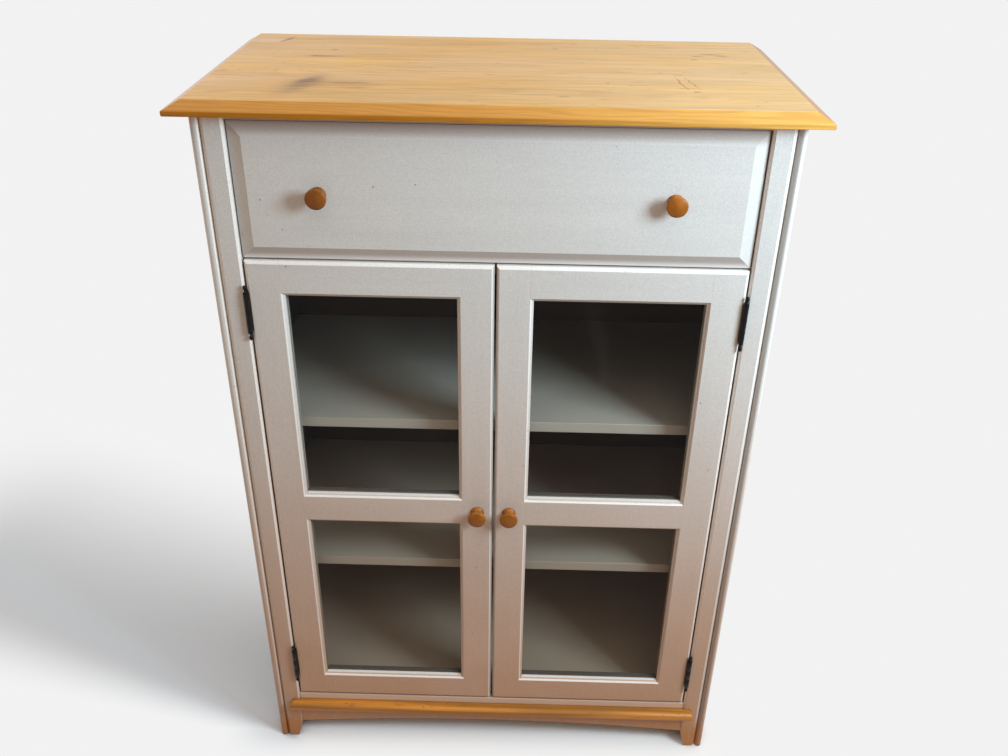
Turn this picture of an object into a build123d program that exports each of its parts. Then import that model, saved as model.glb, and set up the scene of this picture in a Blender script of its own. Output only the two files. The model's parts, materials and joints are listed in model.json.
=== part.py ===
from build123d import *
from itertools import pairwise
from math import atan2, degrees
import os

os.makedirs("parts", exist_ok=True)

# Floor-standing pine cupboard: one wide drawer over a pair of glazed doors.
# X runs across the front, +Y to the back, +Z up. The origin is on the floor at
# the middle of the plan. Side pieces are made once, on the right-hand side
# (+X), and mirrored in the YZ plane for the left-hand side.

# ---------------------------------------------------------------- driving sizes
WIDTH = 800.0  # over the two side frames
CARCASS_HEIGHT = 1186.0  # floor to the underside of the top board
FACE = -201.0  # front face of the stiles, the doors and the drawer field
BACK = 221.0  # rear face of the side frames
HALF = WIDTH / 2

# Top board, bevelled on the front and both ends
TOP_THICKNESS = 18.0
TOP_OVERHANG = 25.0
TOP_REAR_OVERHANG = 5.0
TOP_BEVEL_RUN = 20.5
TOP_BEVEL_DROP = 11.0
TOP_UNDER_ROUND = 2.0

# Side frames: legs, rails and a flat panel held in a groove
SIDE_THICKNESS = 12.5
SIDE_INNER = HALF - SIDE_THICKNESS
SIDE_MIDDLE = HALF - SIDE_THICKNESS / 2
LEG_WIDTH = 70.0
SIDE_TOP_RAIL = 80.0
SIDE_BOTTOM_RAIL = 84.0
SIDE_RAIL_CLEARANCE = 56.0  # floor to the side's bottom rail
PANEL_THICKNESS = 5.0
PANEL_GROOVE = 8.0

# Front stiles, which run down to the floor as tapered feet
OPENING_HALF = 355.0  # half the clear width between the stiles
STILE_DEPTH = 22.5
STILE_BACK = FACE + STILE_DEPTH
STILE_INNER_CHAMFER = 3.5
STILE_GROOVE_CHAMFER = 6.0
FOOT_TAPER_HEIGHT = 42.0
FOOT_TAPER_INSET = 11.0
FOOT_ROUND = 2.5

# Rails between the side frames
BOARD = 18.0
FRONT_TOP_RAIL_THICKNESS = 9.0
DIVIDER_BOTTOM = 960.0
RUNNER_TOP = 984.0  # the drawer sides run at this height
RAIL_DEPTH = 40.0
REAR_TOP_RAIL = 60.0
REAR_BOTTOM_RAIL_LOW = 60.0
BACK_PANEL_THICKNESS = 3.0
BACK_PANEL_REBATE = 4.0

# Arched rail and moulding below the doors
APRON_SETBACK = 2.0
APRON_BOTTOM = 40.0
APRON_TOP = 114.0
APRON_RISE = 16.0
APRON_TENON = 15.0
MOULDING_HALF_LENGTH = 371.5
MOULDING_BOTTOM = 84.0
MOULDING_TOP = 101.0
MOULDING_PROJECTION = 15.0
MOULDING_NOSE_ROUND = 7.0
MOULDING_UNDER_ROUND = 5.0

# Shelves and the bottom board
BOTTOM_BOARD_THICKNESS = 16.0
HOUSING = 3.5
SHELF_FRONT = FACE + 43.0
SHELF_CLEARANCE = 1.0
LOWER_SHELF_TOP = 411.0
UPPER_SHELF_TOP = 697.0
SHELF_ARRIS = 1.0
BATTEN_WIDTH = 12.0
BATTEN_HEIGHT = 18.0
BATTEN_FRONT_INSET = 12.0
BATTEN_REAR_INSET = 30.0

# Drawer
DRAWER_FRONT_HALF = 353.5
DRAWER_FRONT_LOW = 983.0
DRAWER_FRONT_HIGH = 1175.0
DRAWER_FRONT_THICKNESS = 22.0
PANEL_BEVEL_RUN = 19.0
PANEL_BEVEL_DROP = 7.5
DRAWER_BOX_HALF = 346.0
DRAWER_BOX_HIGH = 1164.0
DRAWER_BOX_BACK = 180.0
DRAWER_WOOD = 12.0
DRAWER_GROOVE = 5.0
DRAWER_BOTTOM_LOW = 993.0
DRAWER_BOTTOM_THICKNESS = 4.0
DRAWER_BACK_INSET = 20.0
DRAWER_GUIDE_CLEARANCE = 1.5
RUNNER_WIDTH = 57.5
GUIDE_HEIGHT = 26.0
KICKER_THICKNESS = 20.0

# Doors
DOOR_LOW = 117.0
DOOR_HIGH = 980.0
DOOR_THICKNESS = 21.0
DOOR_BACK = FACE + DOOR_THICKNESS
HINGE_GAP = 2.4
MEETING_GAP = 3.0
DOOR_OUTER = OPENING_HALF - HINGE_GAP
DOOR_INNER = MEETING_GAP / 2
DOOR_STILE = 48.0
DOOR_RAIL = 48.0
DOOR_MID_RAIL = 46.0
DOOR_CHAMFER = 4.0
DOOR_TENON = 30.0
DOOR_TENON_THICKNESS = 7.0
TENON_SHOULDER = 8.0

# Stuck profile round each pane, measured from the frame's face
STICK_CHAMFER = 2.0
STICK_QUIRK = 0.8
STICK_SLOPE_RUN = 3.0
STICK_SLOPE_DROP = 1.7
STICK_WIDTH = STICK_CHAMFER + STICK_SLOPE_RUN
GLASS_SETBACK = 10.0
GLASS_THICKNESS = 3.0
GLASS_CLEARANCE = 0.5
REBATE = 6.0

# Ball-tip butt hinges
HINGE_AXIS_X = OPENING_HALF - HINGE_GAP / 2
BARREL_RADIUS = 3.7
HINGE_AXIS_Y = FACE - BARREL_RADIUS
HINGE_LENGTH = 64.0
HINGE_KNUCKLES = 3
KNUCKLE_CLEARANCE = 0.2
PIN_SHAFT_RADIUS = 2.0
PIN_RUNNING_FIT = 0.05
LEAF_THICKNESS = 1.5
LEAF_RECESS = 0.6
LEAF_BACK = FACE + 18.0
LEAF_BARREL_GAP = 0.6
HINGE_INSET = 79.0  # door end to the middle of the hinge
TIP_PROFILE = (  # radius and distance from the knuckles: collar, neck, then the ball
    (2.9, 0.0), (2.9, 1.4), (1.7, 3.4), (2.7, 6.6), (2.7, 9.6), (1.2, 12.0)
)
TIP_SIDES = 10

# Turned knobs
KNOB_PROFILE = (  # radius and distance from the wood: base, cove, rim and low dome
    (11.0, 0.0), (11.0, 2.0), (8.4, 4.6), (7.2, 9.0), (8.2, 13.0),
    (12.6, 16.2), (14.3, 17.8), (14.3, 20.6), (10.6, 23.2), (1.0, 24.4)
)
KNOB_SIDES = 24
DRAWER_KNOB_X = 239.0
SCREW_RADIUS = 2.0
SCREW_HOLE_RADIUS = 2.2
SCREW_HEAD_RADIUS = 4.0
SCREW_HEAD = 2.4
KNOB_SCREW_GRIP = 13.0

# Magnetic catches
CATCH_X = 32.0
CATCH_LENGTH = 46.0
CATCH_HEIGHT = 13.0
CATCH_DEPTH = 14.0
CATCH_EAR = 8.0
CATCH_EAR_THICKNESS = 3.0
CATCH_EAR_SETBACK = 4.0
STRIKE_LENGTH = 38.0
STRIKE_HEIGHT = 12.0
STRIKE_THICKNESS = 1.5
PLATE_CORNER = 2.0

# ------------------------------------------------------------- worked-out sizes
FLOOR_TO_TOP = CARCASS_HEIGHT + TOP_THICKNESS
BACK_PANEL_FRONT = BACK - BACK_PANEL_THICKNESS
REAR_RAIL_FRONT = BACK_PANEL_FRONT - BOARD
DIVIDER_BACK = STILE_BACK + RAIL_DEPTH
BOTTOM_BOARD_LOW = APRON_TOP
BOTTOM_BOARD_HIGH = APRON_TOP + BOTTOM_BOARD_THICKNESS
DRAWER_FRONT_BACK = FACE + DRAWER_FRONT_THICKNESS
DRAWER_SIDE_INNER = DRAWER_BOX_HALF - DRAWER_WOOD
DRAWER_KNOB_Z = (DRAWER_FRONT_LOW + DRAWER_FRONT_HIGH) / 2
DOOR_MIDDLE = (DOOR_LOW + DOOR_HIGH) / 2
DOOR_KNOB_X = DOOR_INNER + DOOR_STILE / 2
PANE_SPAN_X = DOOR_OUTER - DOOR_INNER - 2 * DOOR_STILE
PANE_SPAN_Z = (DOOR_HIGH - DOOR_LOW - 2 * DOOR_RAIL - DOOR_MID_RAIL) / 2
PANE_X = DOOR_INNER + DOOR_STILE + PANE_SPAN_X / 2
PANE_HEIGHTS = {
    "lower": DOOR_LOW + DOOR_RAIL + PANE_SPAN_Z / 2,
    "upper": DOOR_HIGH - DOOR_RAIL - PANE_SPAN_Z / 2,
}
SIGHT_X = PANE_SPAN_X - 2 * STICK_WIDTH
SIGHT_Z = PANE_SPAN_Z - 2 * STICK_WIDTH
MID_RAIL_Z = DOOR_LOW + DOOR_RAIL + PANE_SPAN_Z + DOOR_MID_RAIL / 2
HINGE_HEIGHTS = (DOOR_LOW + HINGE_INSET, DOOR_HIGH - HINGE_INSET)


# --------------------------------------------------------------------- helpers
def save(piece, name):
    """Labels a finished piece and writes its STEP file."""
    piece.label = name
    export_step(piece, f"parts/{name}.step")


def save_pair(piece, left_name, right_name):
    """Writes a right-hand piece and its mirror image."""
    save(piece, right_name)
    save(mirror(piece, about=Plane.YZ), left_name)


def board(x_span, y_span, z_span):
    """Planed board between three pairs of faces."""
    with BuildPart() as blank:
        with BuildSketch(Plane.XY.offset(z_span[0])):
            with Locations(((x_span[0] + x_span[1]) / 2, (y_span[0] + y_span[1]) / 2)):
                Rectangle(x_span[1] - x_span[0], y_span[1] - y_span[0])
        extrude(amount=z_span[1] - z_span[0])
    return blank.part


def bar_along_y(radius, x, z, y_span):
    """Round bar with its axis along Y, for dowels, screws and their holes."""
    with BuildPart() as bar:
        with BuildSketch(Plane.XZ.offset(-y_span[0])):
            with Locations((x, z)):
                Circle(radius)
        extrude(amount=y_span[0] - y_span[1])
    return bar.part


def bar_along_z(radius, x, y, z_span):
    """Round bar standing on end."""
    with BuildPart() as bar:
        with BuildSketch(Plane.XY.offset(z_span[0])):
            with Locations((x, y)):
                Circle(radius)
        extrude(amount=z_span[1] - z_span[0])
    return bar.part


def turned_ring(wide, narrow, height, sides):
    """Ring with flat facets, standing on its wide end."""
    with BuildPart() as ring:
        with BuildSketch():
            RegularPolygon(wide, sides, major_radius=False)
        extrude(amount=height, taper=degrees(atan2(wide - narrow, height)))
    return ring.part


def turning(profile, sides, seat):
    """Small turned piece: stacked rings, with the axis along the seat's normal."""
    with BuildPart() as rings:
        for (radius, start), (next_radius, end) in pairwise(profile):
            if radius < next_radius:
                ring = turned_ring(next_radius, radius, end - start, sides)
                add(Pos(0, 0, end) * Rot(180, 0, 0) * ring)
            else:
                ring = turned_ring(radius, next_radius, end - start, sides)
                add(Pos(0, 0, start) * ring)
    return seat.location * rings.part


# ------------------------------------------------------------------- top board
def top_board():
    """Pine top: long bevel on three edges, softly rounded below the nose."""
    half_top = HALF + TOP_OVERHANG
    nose = FACE - TOP_OVERHANG
    blank = board(
        (-half_top, half_top),
        (nose, BACK + TOP_REAR_OVERHANG),
        (CARCASS_HEIGHT, FLOOR_TO_TOP),
    )
    with BuildPart() as top:
        add(blank)
        upper = top.faces().sort_by(Axis.Z)[-1]
        bevelled = upper.edges().sort_by(Axis.Y)[:-1]
        chamfer(bevelled, length=TOP_BEVEL_RUN, length2=TOP_BEVEL_DROP, reference=upper)
        lower = top.faces().sort_by(Axis.Z)[0]
        fillet(lower.edges().sort_by(Axis.Y)[:-1], radius=TOP_UNDER_ROUND)
    return top.part


# ----------------------------------------------------------------- side frames
def panel_groove(y_span, z_span):
    """Space of the groove that holds the side panel and the rails' stub tenons."""
    half = PANEL_THICKNESS / 2
    return board((SIDE_MIDDLE - half, SIDE_MIDDLE + half), y_span, z_span)


def bottom_board_space():
    """Space that the bottom board's housed ends take up in the side frames."""
    end = SIDE_INNER + HOUSING
    return board(
        (-end, end), (STILE_BACK, REAR_RAIL_FRONT), (BOTTOM_BOARD_LOW, BOTTOM_BOARD_HIGH)
    )


def foot_wedge(outer, inner, plane):
    """Wedge cut off one side of a foot, in the plane of the leg's broad face."""
    with BuildPart() as wedge:
        with BuildSketch(plane):
            with BuildLine():
                Polyline(
                    (outer, 0), (outer, FOOT_TAPER_HEIGHT), (inner, 0), (outer, 0)
                )
            make_face()
        extrude(amount=WIDTH, both=True)
    return wedge.part


def side_front_leg():
    """Leg with a half-round front edge, which shows beside the stile."""
    rear = FACE + LEG_WIDTH
    nose_radius = SIDE_THICKNESS / 2
    with BuildPart() as leg:
        with BuildSketch():
            with Locations((SIDE_MIDDLE, (FACE + nose_radius + rear) / 2)):
                Rectangle(SIDE_THICKNESS, LEG_WIDTH - nose_radius)
            with Locations((SIDE_MIDDLE, FACE + nose_radius)):
                Circle(nose_radius)
        extrude(amount=CARCASS_HEIGHT)
        add(
            panel_groove((rear - PANEL_GROOVE, rear), (SIDE_RAIL_CLEARANCE, CARCASS_HEIGHT)),
            mode=Mode.SUBTRACT,
        )
        add(foot_wedge(rear, rear - FOOT_TAPER_INSET, Plane.YZ), mode=Mode.SUBTRACT)
        add(bottom_board_space(), mode=Mode.SUBTRACT)
    return leg.part


def side_rear_leg():
    """Rear leg, grooved for the panel and rebated for the back."""
    front = BACK - LEG_WIDTH
    with BuildPart() as leg:
        add(board((SIDE_INNER, HALF), (front, BACK), (0, CARCASS_HEIGHT)))
        add(
            panel_groove((front, front + PANEL_GROOVE), (SIDE_RAIL_CLEARANCE, CARCASS_HEIGHT)),
            mode=Mode.SUBTRACT,
        )
        add(foot_wedge(front, front + FOOT_TAPER_INSET, Plane.YZ), mode=Mode.SUBTRACT)
        add(back_panel(), mode=Mode.SUBTRACT)
        add(bottom_board_space(), mode=Mode.SUBTRACT)
    return leg.part


def side_rail(z_span, groove_z_span):
    """Side rail between the legs, with stub tenons at both ends."""
    front = FACE + LEG_WIDTH
    rear = BACK - LEG_WIDTH
    with BuildPart() as rail:
        add(board((SIDE_INNER, HALF), (front, rear), z_span))
        add(panel_groove((front - PANEL_GROOVE, rear + PANEL_GROOVE), z_span))
        add(
            panel_groove((front - PANEL_GROOVE, rear + PANEL_GROOVE), groove_z_span),
            mode=Mode.SUBTRACT,
        )
        add(bottom_board_space(), mode=Mode.SUBTRACT)
    return rail.part


def side_frame():
    """Legs, rails and panel of one side, written with their mirror images."""
    rail_low = CARCASS_HEIGHT - SIDE_TOP_RAIL
    rail_high = SIDE_RAIL_CLEARANCE + SIDE_BOTTOM_RAIL
    save_pair(side_front_leg(), "side_front_leg_left", "side_front_leg_right")
    save_pair(side_rear_leg(), "side_rear_leg_left", "side_rear_leg_right")
    save_pair(
        side_rail((rail_low, CARCASS_HEIGHT), (rail_low, rail_low + PANEL_GROOVE)),
        "side_top_rail_left",
        "side_top_rail_right",
    )
    save_pair(
        side_rail((SIDE_RAIL_CLEARANCE, rail_high), (rail_high - PANEL_GROOVE, rail_high)),
        "side_bottom_rail_left",
        "side_bottom_rail_right",
    )
    panel = panel_groove(
        (FACE + LEG_WIDTH - PANEL_GROOVE, BACK - LEG_WIDTH + PANEL_GROOVE),
        (rail_high - PANEL_GROOVE, rail_low + PANEL_GROOVE),
    )
    save_pair(panel, "side_panel_left", "side_panel_right")


# ---------------------------------------------------------------- front stiles
def front_stile():
    """Front stile and foot: chamfered arrises, mortise, hinge recesses."""
    front_arris = FACE + STILE_INNER_CHAMFER
    groove_arris = FACE + STILE_GROOVE_CHAMFER
    with BuildPart() as stile:
        with BuildSketch():
            with BuildLine():
                Polyline(
                    (OPENING_HALF, front_arris),
                    (OPENING_HALF + STILE_INNER_CHAMFER, FACE),
                    (SIDE_INNER - STILE_GROOVE_CHAMFER, FACE),
                    (SIDE_INNER, groove_arris),
                    (SIDE_INNER, STILE_BACK),
                    (OPENING_HALF, STILE_BACK),
                    close=True,
                )
            make_face()
        extrude(amount=CARCASS_HEIGHT)
        wedge_tip = OPENING_HALF + FOOT_TAPER_INSET
        add(foot_wedge(OPENING_HALF, wedge_tip, Plane.XZ), mode=Mode.SUBTRACT)
        fillet(stile.faces().sort_by(Axis.Z)[0].edges(), radius=FOOT_ROUND)
        add(apron_tenon(), mode=Mode.SUBTRACT)
        for height in HINGE_HEIGHTS:
            recess_x = (OPENING_HALF, OPENING_HALF + LEAF_RECESS)
            add(board(recess_x, (FACE, LEAF_BACK), hinge_z_span(height)), mode=Mode.SUBTRACT)
    return stile.part


# -------------------------------------------------------------- rails and back
def front_top_rail():
    """Thin rail under the top, notched round the stiles."""
    z_span = (CARCASS_HEIGHT - FRONT_TOP_RAIL_THICKNESS, CARCASS_HEIGHT)
    with BuildPart() as rail:
        add(board((-SIDE_INNER, SIDE_INNER), (STILE_BACK, DIVIDER_BACK), z_span))
        add(board((-OPENING_HALF, OPENING_HALF), (FACE + APRON_SETBACK, STILE_BACK), z_span))
    return rail.part


def apron_tenon():
    """Both tenons of the arched rail, or the mortises for them."""
    end = OPENING_HALF + APRON_TENON
    middle = FACE + APRON_SETBACK + BOARD / 2
    return board(
        (-end, end),
        (middle - DOOR_TENON_THICKNESS / 2, middle + DOOR_TENON_THICKNESS / 2),
        (APRON_BOTTOM + BOARD, APRON_TOP - BOARD / 2),
    )


def front_bottom_rail():
    """Rail below the doors, its lower edge cut to a shallow arch."""
    with BuildPart() as rail:
        with BuildSketch(Plane.XZ.offset(-FACE - APRON_SETBACK)):
            with BuildLine():
                Polyline(
                    (-OPENING_HALF, APRON_BOTTOM),
                    (-OPENING_HALF, APRON_TOP),
                    (OPENING_HALF, APRON_TOP),
                    (OPENING_HALF, APRON_BOTTOM),
                )
                ThreePointArc(
                    (OPENING_HALF, APRON_BOTTOM),
                    (0, APRON_BOTTOM + APRON_RISE),
                    (-OPENING_HALF, APRON_BOTTOM),
                )
            make_face()
        extrude(amount=-BOARD)
        add(apron_tenon())
    return rail.part


def base_moulding():
    """Half-round pine moulding under the doors, returned at both ends."""
    front = FACE - MOULDING_PROJECTION
    length = (-MOULDING_HALF_LENGTH, MOULDING_HALF_LENGTH)
    with BuildPart() as moulding:
        add(board(length, (front, FACE), (MOULDING_BOTTOM, MOULDING_TOP)))
        top_edges = moulding.faces().sort_by(Axis.Z)[-1].edges().sort_by(Axis.Y)[:-1]
        fillet(top_edges, radius=MOULDING_NOSE_ROUND)
        under_edges = moulding.faces().sort_by(Axis.Z)[0].edges().sort_by(Axis.Y)[:1]
        fillet(under_edges, radius=MOULDING_UNDER_ROUND)
        between = (-OPENING_HALF, OPENING_HALF)
        add(board(between, (FACE, FACE + APRON_SETBACK), (MOULDING_BOTTOM, MOULDING_TOP)))
    return moulding.part


def back_panel():
    """Thin back, let into rebates in the rear legs."""
    edge = SIDE_INNER + BACK_PANEL_REBATE
    return board((-edge, edge), (BACK_PANEL_FRONT, BACK), (REAR_BOTTOM_RAIL_LOW, CARCASS_HEIGHT))


def divider_rail():
    """Rail behind the gap between drawer and doors; both shut against it."""
    return board(
        (-SIDE_INNER, SIDE_INNER), (STILE_BACK, DIVIDER_BACK), (DIVIDER_BOTTOM, RUNNER_TOP)
    )


def rear_rail(z_span):
    """Rear rail between the side frames, in front of the back."""
    return board((-SIDE_INNER, SIDE_INNER), (REAR_RAIL_FRONT, BACK_PANEL_FRONT), z_span)


def carcass_rails():
    """Front and rear rails, moulding and back."""
    save(front_top_rail(), "front_top_rail")
    save(divider_rail(), "divider_rail")
    save(front_bottom_rail(), "front_bottom_rail")
    save(base_moulding(), "base_moulding")
    save(rear_rail((CARCASS_HEIGHT - REAR_TOP_RAIL, CARCASS_HEIGHT)), "rear_top_rail")
    save(rear_rail((REAR_BOTTOM_RAIL_LOW, BOTTOM_BOARD_HIGH)), "rear_bottom_rail")
    save(back_panel(), "back_panel")


# --------------------------------------------------------------------- shelves
def shelf(top):
    """Loose shelf resting on four pins."""
    half_length = SIDE_INNER - SHELF_CLEARANCE
    with BuildPart() as plank:
        y_span = (SHELF_FRONT, REAR_RAIL_FRONT - SHELF_CLEARANCE)
        add(board((-half_length, half_length), y_span, (top - BOARD, top)))
        fillet(plank.faces().sort_by(Axis.Y)[0].edges().filter_by(Axis.X), radius=SHELF_ARRIS)
    return plank.part


def shelf_battens():
    """Four battens under the ends of the shelves, fixed across the side legs."""
    y_span = (SHELF_FRONT + BATTEN_FRONT_INSET, BACK - BATTEN_REAR_INSET)
    with BuildPart() as battens:
        for top in (LOWER_SHELF_TOP, UPPER_SHELF_TOP):
            z_span = (top - BOARD - BATTEN_HEIGHT, top - BOARD)
            add(board((SIDE_INNER - BATTEN_WIDTH, SIDE_INNER), y_span, z_span))
            add(board((-SIDE_INNER, BATTEN_WIDTH - SIDE_INNER), y_span, z_span))
    return battens.part


def shelving():
    """Bottom board, two shelves and their battens."""
    save(bottom_board_space(), "bottom_board")
    save(shelf(LOWER_SHELF_TOP), "lower_shelf")
    save(shelf(UPPER_SHELF_TOP), "upper_shelf")
    save(shelf_battens(), "shelf_battens")


# ------------------------------------------------------------- drawer supports
def drawer_runner():
    """Runner under the drawer side, with the guide that keeps it central."""
    inner = SIDE_INNER - RUNNER_WIDTH
    guide = DRAWER_BOX_HALF + DRAWER_GUIDE_CLEARANCE
    with BuildPart() as runner:
        with BuildSketch(Plane.XZ.offset(-DIVIDER_BACK)):
            with BuildLine():
                Polyline(
                    (inner, DIVIDER_BOTTOM),
                    (SIDE_INNER, DIVIDER_BOTTOM),
                    (SIDE_INNER, RUNNER_TOP + GUIDE_HEIGHT),
                    (guide, RUNNER_TOP + GUIDE_HEIGHT),
                    (guide, RUNNER_TOP),
                    (inner, RUNNER_TOP),
                    close=True,
                )
            make_face()
        extrude(amount=DIVIDER_BACK - BACK_PANEL_FRONT)
    return runner.part


def drawer_kickers():
    """Two boards over the drawer sides, which stop an open drawer tipping."""
    y_span = (DIVIDER_BACK, REAR_RAIL_FRONT)
    z_span = (CARCASS_HEIGHT - KICKER_THICKNESS, CARCASS_HEIGHT)
    with BuildPart() as kickers:
        add(board((SIDE_INNER - RUNNER_WIDTH, SIDE_INNER), y_span, z_span))
        add(board((-SIDE_INNER, RUNNER_WIDTH - SIDE_INNER), y_span, z_span))
    return kickers.part


# ---------------------------------------------------------------------- drawer
def drawer_floor_space():
    """Thin drawer bottom, which also cuts its grooves."""
    edge = DRAWER_SIDE_INNER + DRAWER_GROOVE
    return board(
        (-edge, edge),
        (DRAWER_FRONT_BACK - DRAWER_GROOVE, DRAWER_BOX_BACK),
        (DRAWER_BOTTOM_LOW, DRAWER_BOTTOM_LOW + DRAWER_BOTTOM_THICKNESS),
    )


def drawer_side_blank():
    """Drawer side before its grooves are cut; its front end is housed."""
    return board(
        (DRAWER_SIDE_INNER, DRAWER_BOX_HALF),
        (DRAWER_FRONT_BACK - DRAWER_GROOVE, DRAWER_BOX_BACK),
        (RUNNER_TOP, DRAWER_BOX_HIGH),
    )


def drawer_back():
    """Drawer back, above the bottom and housed in the sides."""
    edge = DRAWER_SIDE_INNER + DRAWER_GROOVE
    rear = DRAWER_BOX_BACK - DRAWER_BACK_INSET
    low = DRAWER_BOTTOM_LOW + DRAWER_BOTTOM_THICKNESS
    return board((-edge, edge), (rear, rear + DRAWER_WOOD), (low, DRAWER_BOX_HIGH))


def drawer_side():
    """Drawer side grooved for the bottom and the back."""
    with BuildPart() as side:
        add(drawer_side_blank())
        add(drawer_floor_space(), mode=Mode.SUBTRACT)
        add(drawer_back(), mode=Mode.SUBTRACT)
    return side.part


def drawer_front():
    """Fielded front: a wide bevel runs down from the field on all four sides."""
    height = DRAWER_FRONT_HIGH - DRAWER_FRONT_LOW
    x_span = (-DRAWER_FRONT_HALF, DRAWER_FRONT_HALF)
    z_span = (DRAWER_FRONT_LOW, DRAWER_FRONT_HIGH)
    with BuildPart() as front:
        add(board(x_span, (FACE, DRAWER_FRONT_BACK), z_span))
        field = front.faces().sort_by(Axis.Y)[0]
        chamfer(
            field.edges(), length=PANEL_BEVEL_RUN, length2=PANEL_BEVEL_DROP, reference=field
        )
        side_housing = drawer_side_blank()
        add(side_housing, mode=Mode.SUBTRACT)
        add(mirror(side_housing, about=Plane.YZ), mode=Mode.SUBTRACT)
        add(drawer_floor_space(), mode=Mode.SUBTRACT)
        for x in (-DRAWER_KNOB_X, DRAWER_KNOB_X):
            hole = bar_along_y(SCREW_HOLE_RADIUS, x, DRAWER_KNOB_Z, (FACE, DRAWER_FRONT_BACK))
            add(hole, mode=Mode.SUBTRACT)
    return front.part


def drawer_knobs():
    """The drawer's two turned knobs."""
    with BuildPart() as knobs:
        for x in (-DRAWER_KNOB_X, DRAWER_KNOB_X):
            add(knob(x, DRAWER_KNOB_Z))
    return knobs.part


def drawer_knob_screws():
    """Screws that hold the drawer knobs from inside."""
    with BuildPart() as screws:
        for x in (-DRAWER_KNOB_X, DRAWER_KNOB_X):
            add(knob_screw(x, DRAWER_KNOB_Z, DRAWER_FRONT_BACK))
    return screws.part


def drawer():
    """Drawer box, fielded front and knobs."""
    save(drawer_front(), "drawer_front")
    save_pair(drawer_side(), "drawer_side_left", "drawer_side_right")
    save(drawer_back(), "drawer_back")
    save(drawer_floor_space(), "drawer_bottom")
    save(drawer_knobs(), "drawer_knobs")
    save(drawer_knob_screws(), "drawer_knob_screws")


# ----------------------------------------------------------------------- knobs
def knob(x, z):
    """Turned knob with a bore for its screw, axis along -Y."""
    front = Plane((x, FACE, z), x_dir=(1, 0, 0), z_dir=(0, -1, 0))
    with BuildPart() as turned:
        add(turning(KNOB_PROFILE, KNOB_SIDES, front))
        grip = (FACE - KNOB_SCREW_GRIP, FACE)
        add(bar_along_y(SCREW_RADIUS, x, z, grip), mode=Mode.SUBTRACT)
    return turned.part


def knob_screw(x, z, inside):
    """Screw through the wood into a knob."""
    with BuildPart() as screw:
        add(bar_along_y(SCREW_RADIUS, x, z, (FACE - KNOB_SCREW_GRIP, inside)))
        add(bar_along_y(SCREW_HEAD_RADIUS, x, z, (inside, inside + SCREW_HEAD)))
    return screw.part


# ---------------------------------------------------------------------- hinges
def hinge_z_span(height):
    """Lower and upper end of the leaves of the hinge at this height."""
    return (height - HINGE_LENGTH / 2, height + HINGE_LENGTH / 2)


def hinge_leaf(height, on_frame):
    """Leaf with its knuckles: two on the frame's leaf, one on the door's."""
    pitch = HINGE_LENGTH / HINGE_KNUCKLES
    low, high = hinge_z_span(height)
    if on_frame:
        leaf_x = (OPENING_HALF + LEAF_RECESS - LEAF_THICKNESS, OPENING_HALF + LEAF_RECESS)
        knuckles = range(0, HINGE_KNUCKLES, 2)
    else:
        leaf_x = (DOOR_OUTER - LEAF_RECESS, DOOR_OUTER - LEAF_RECESS + LEAF_THICKNESS)
        knuckles = range(1, HINGE_KNUCKLES, 2)
    leaf_front = HINGE_AXIS_Y + BARREL_RADIUS + LEAF_BARREL_GAP
    bore = PIN_SHAFT_RADIUS + PIN_RUNNING_FIT
    with BuildPart() as leaf:
        add(board(leaf_x, (leaf_front, LEAF_BACK), (low, high)))
        for index in knuckles:
            knuckle_z = (
                low + index * pitch + KNUCKLE_CLEARANCE / 2,
                low + (index + 1) * pitch - KNUCKLE_CLEARANCE / 2,
            )
            add(bar_along_z(BARREL_RADIUS, HINGE_AXIS_X, HINGE_AXIS_Y, knuckle_z))
            add(board(leaf_x, (HINGE_AXIS_Y, leaf_front), knuckle_z))
        add(bar_along_z(bore, HINGE_AXIS_X, HINGE_AXIS_Y, (low, high)), mode=Mode.SUBTRACT)
    return leaf.part


def hinge_pin(height):
    """Hinge pin with a turned ball tip above and below the knuckles."""
    low, high = hinge_z_span(height)
    with BuildPart() as pin:
        add(bar_along_z(PIN_SHAFT_RADIUS, HINGE_AXIS_X, HINGE_AXIS_Y, (low, high)))
        for end, way in ((low, -1), (high, 1)):
            seat = Plane((HINGE_AXIS_X, HINGE_AXIS_Y, end), z_dir=(0, 0, way))
            add(turning(TIP_PROFILE, TIP_SIDES, seat))
    return pin.part


def hinge_group(make, *settings):
    """The right-hand door's two copies of a hinge piece."""
    with BuildPart() as group:
        for height in HINGE_HEIGHTS:
            add(make(height, *settings))
    return group.part


def frame_hinge_parts():
    """Frame leaves and pins of all four hinges."""
    for name, make, settings in (
        ("frame_hinge_leaves", hinge_leaf, (True,)),
        ("hinge_pins", hinge_pin, ()),
    ):
        right = hinge_group(make, *settings)
        with BuildPart() as all_four:
            add(right)
            add(mirror(right, about=Plane.YZ))
        save(all_four.part, name)


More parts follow.
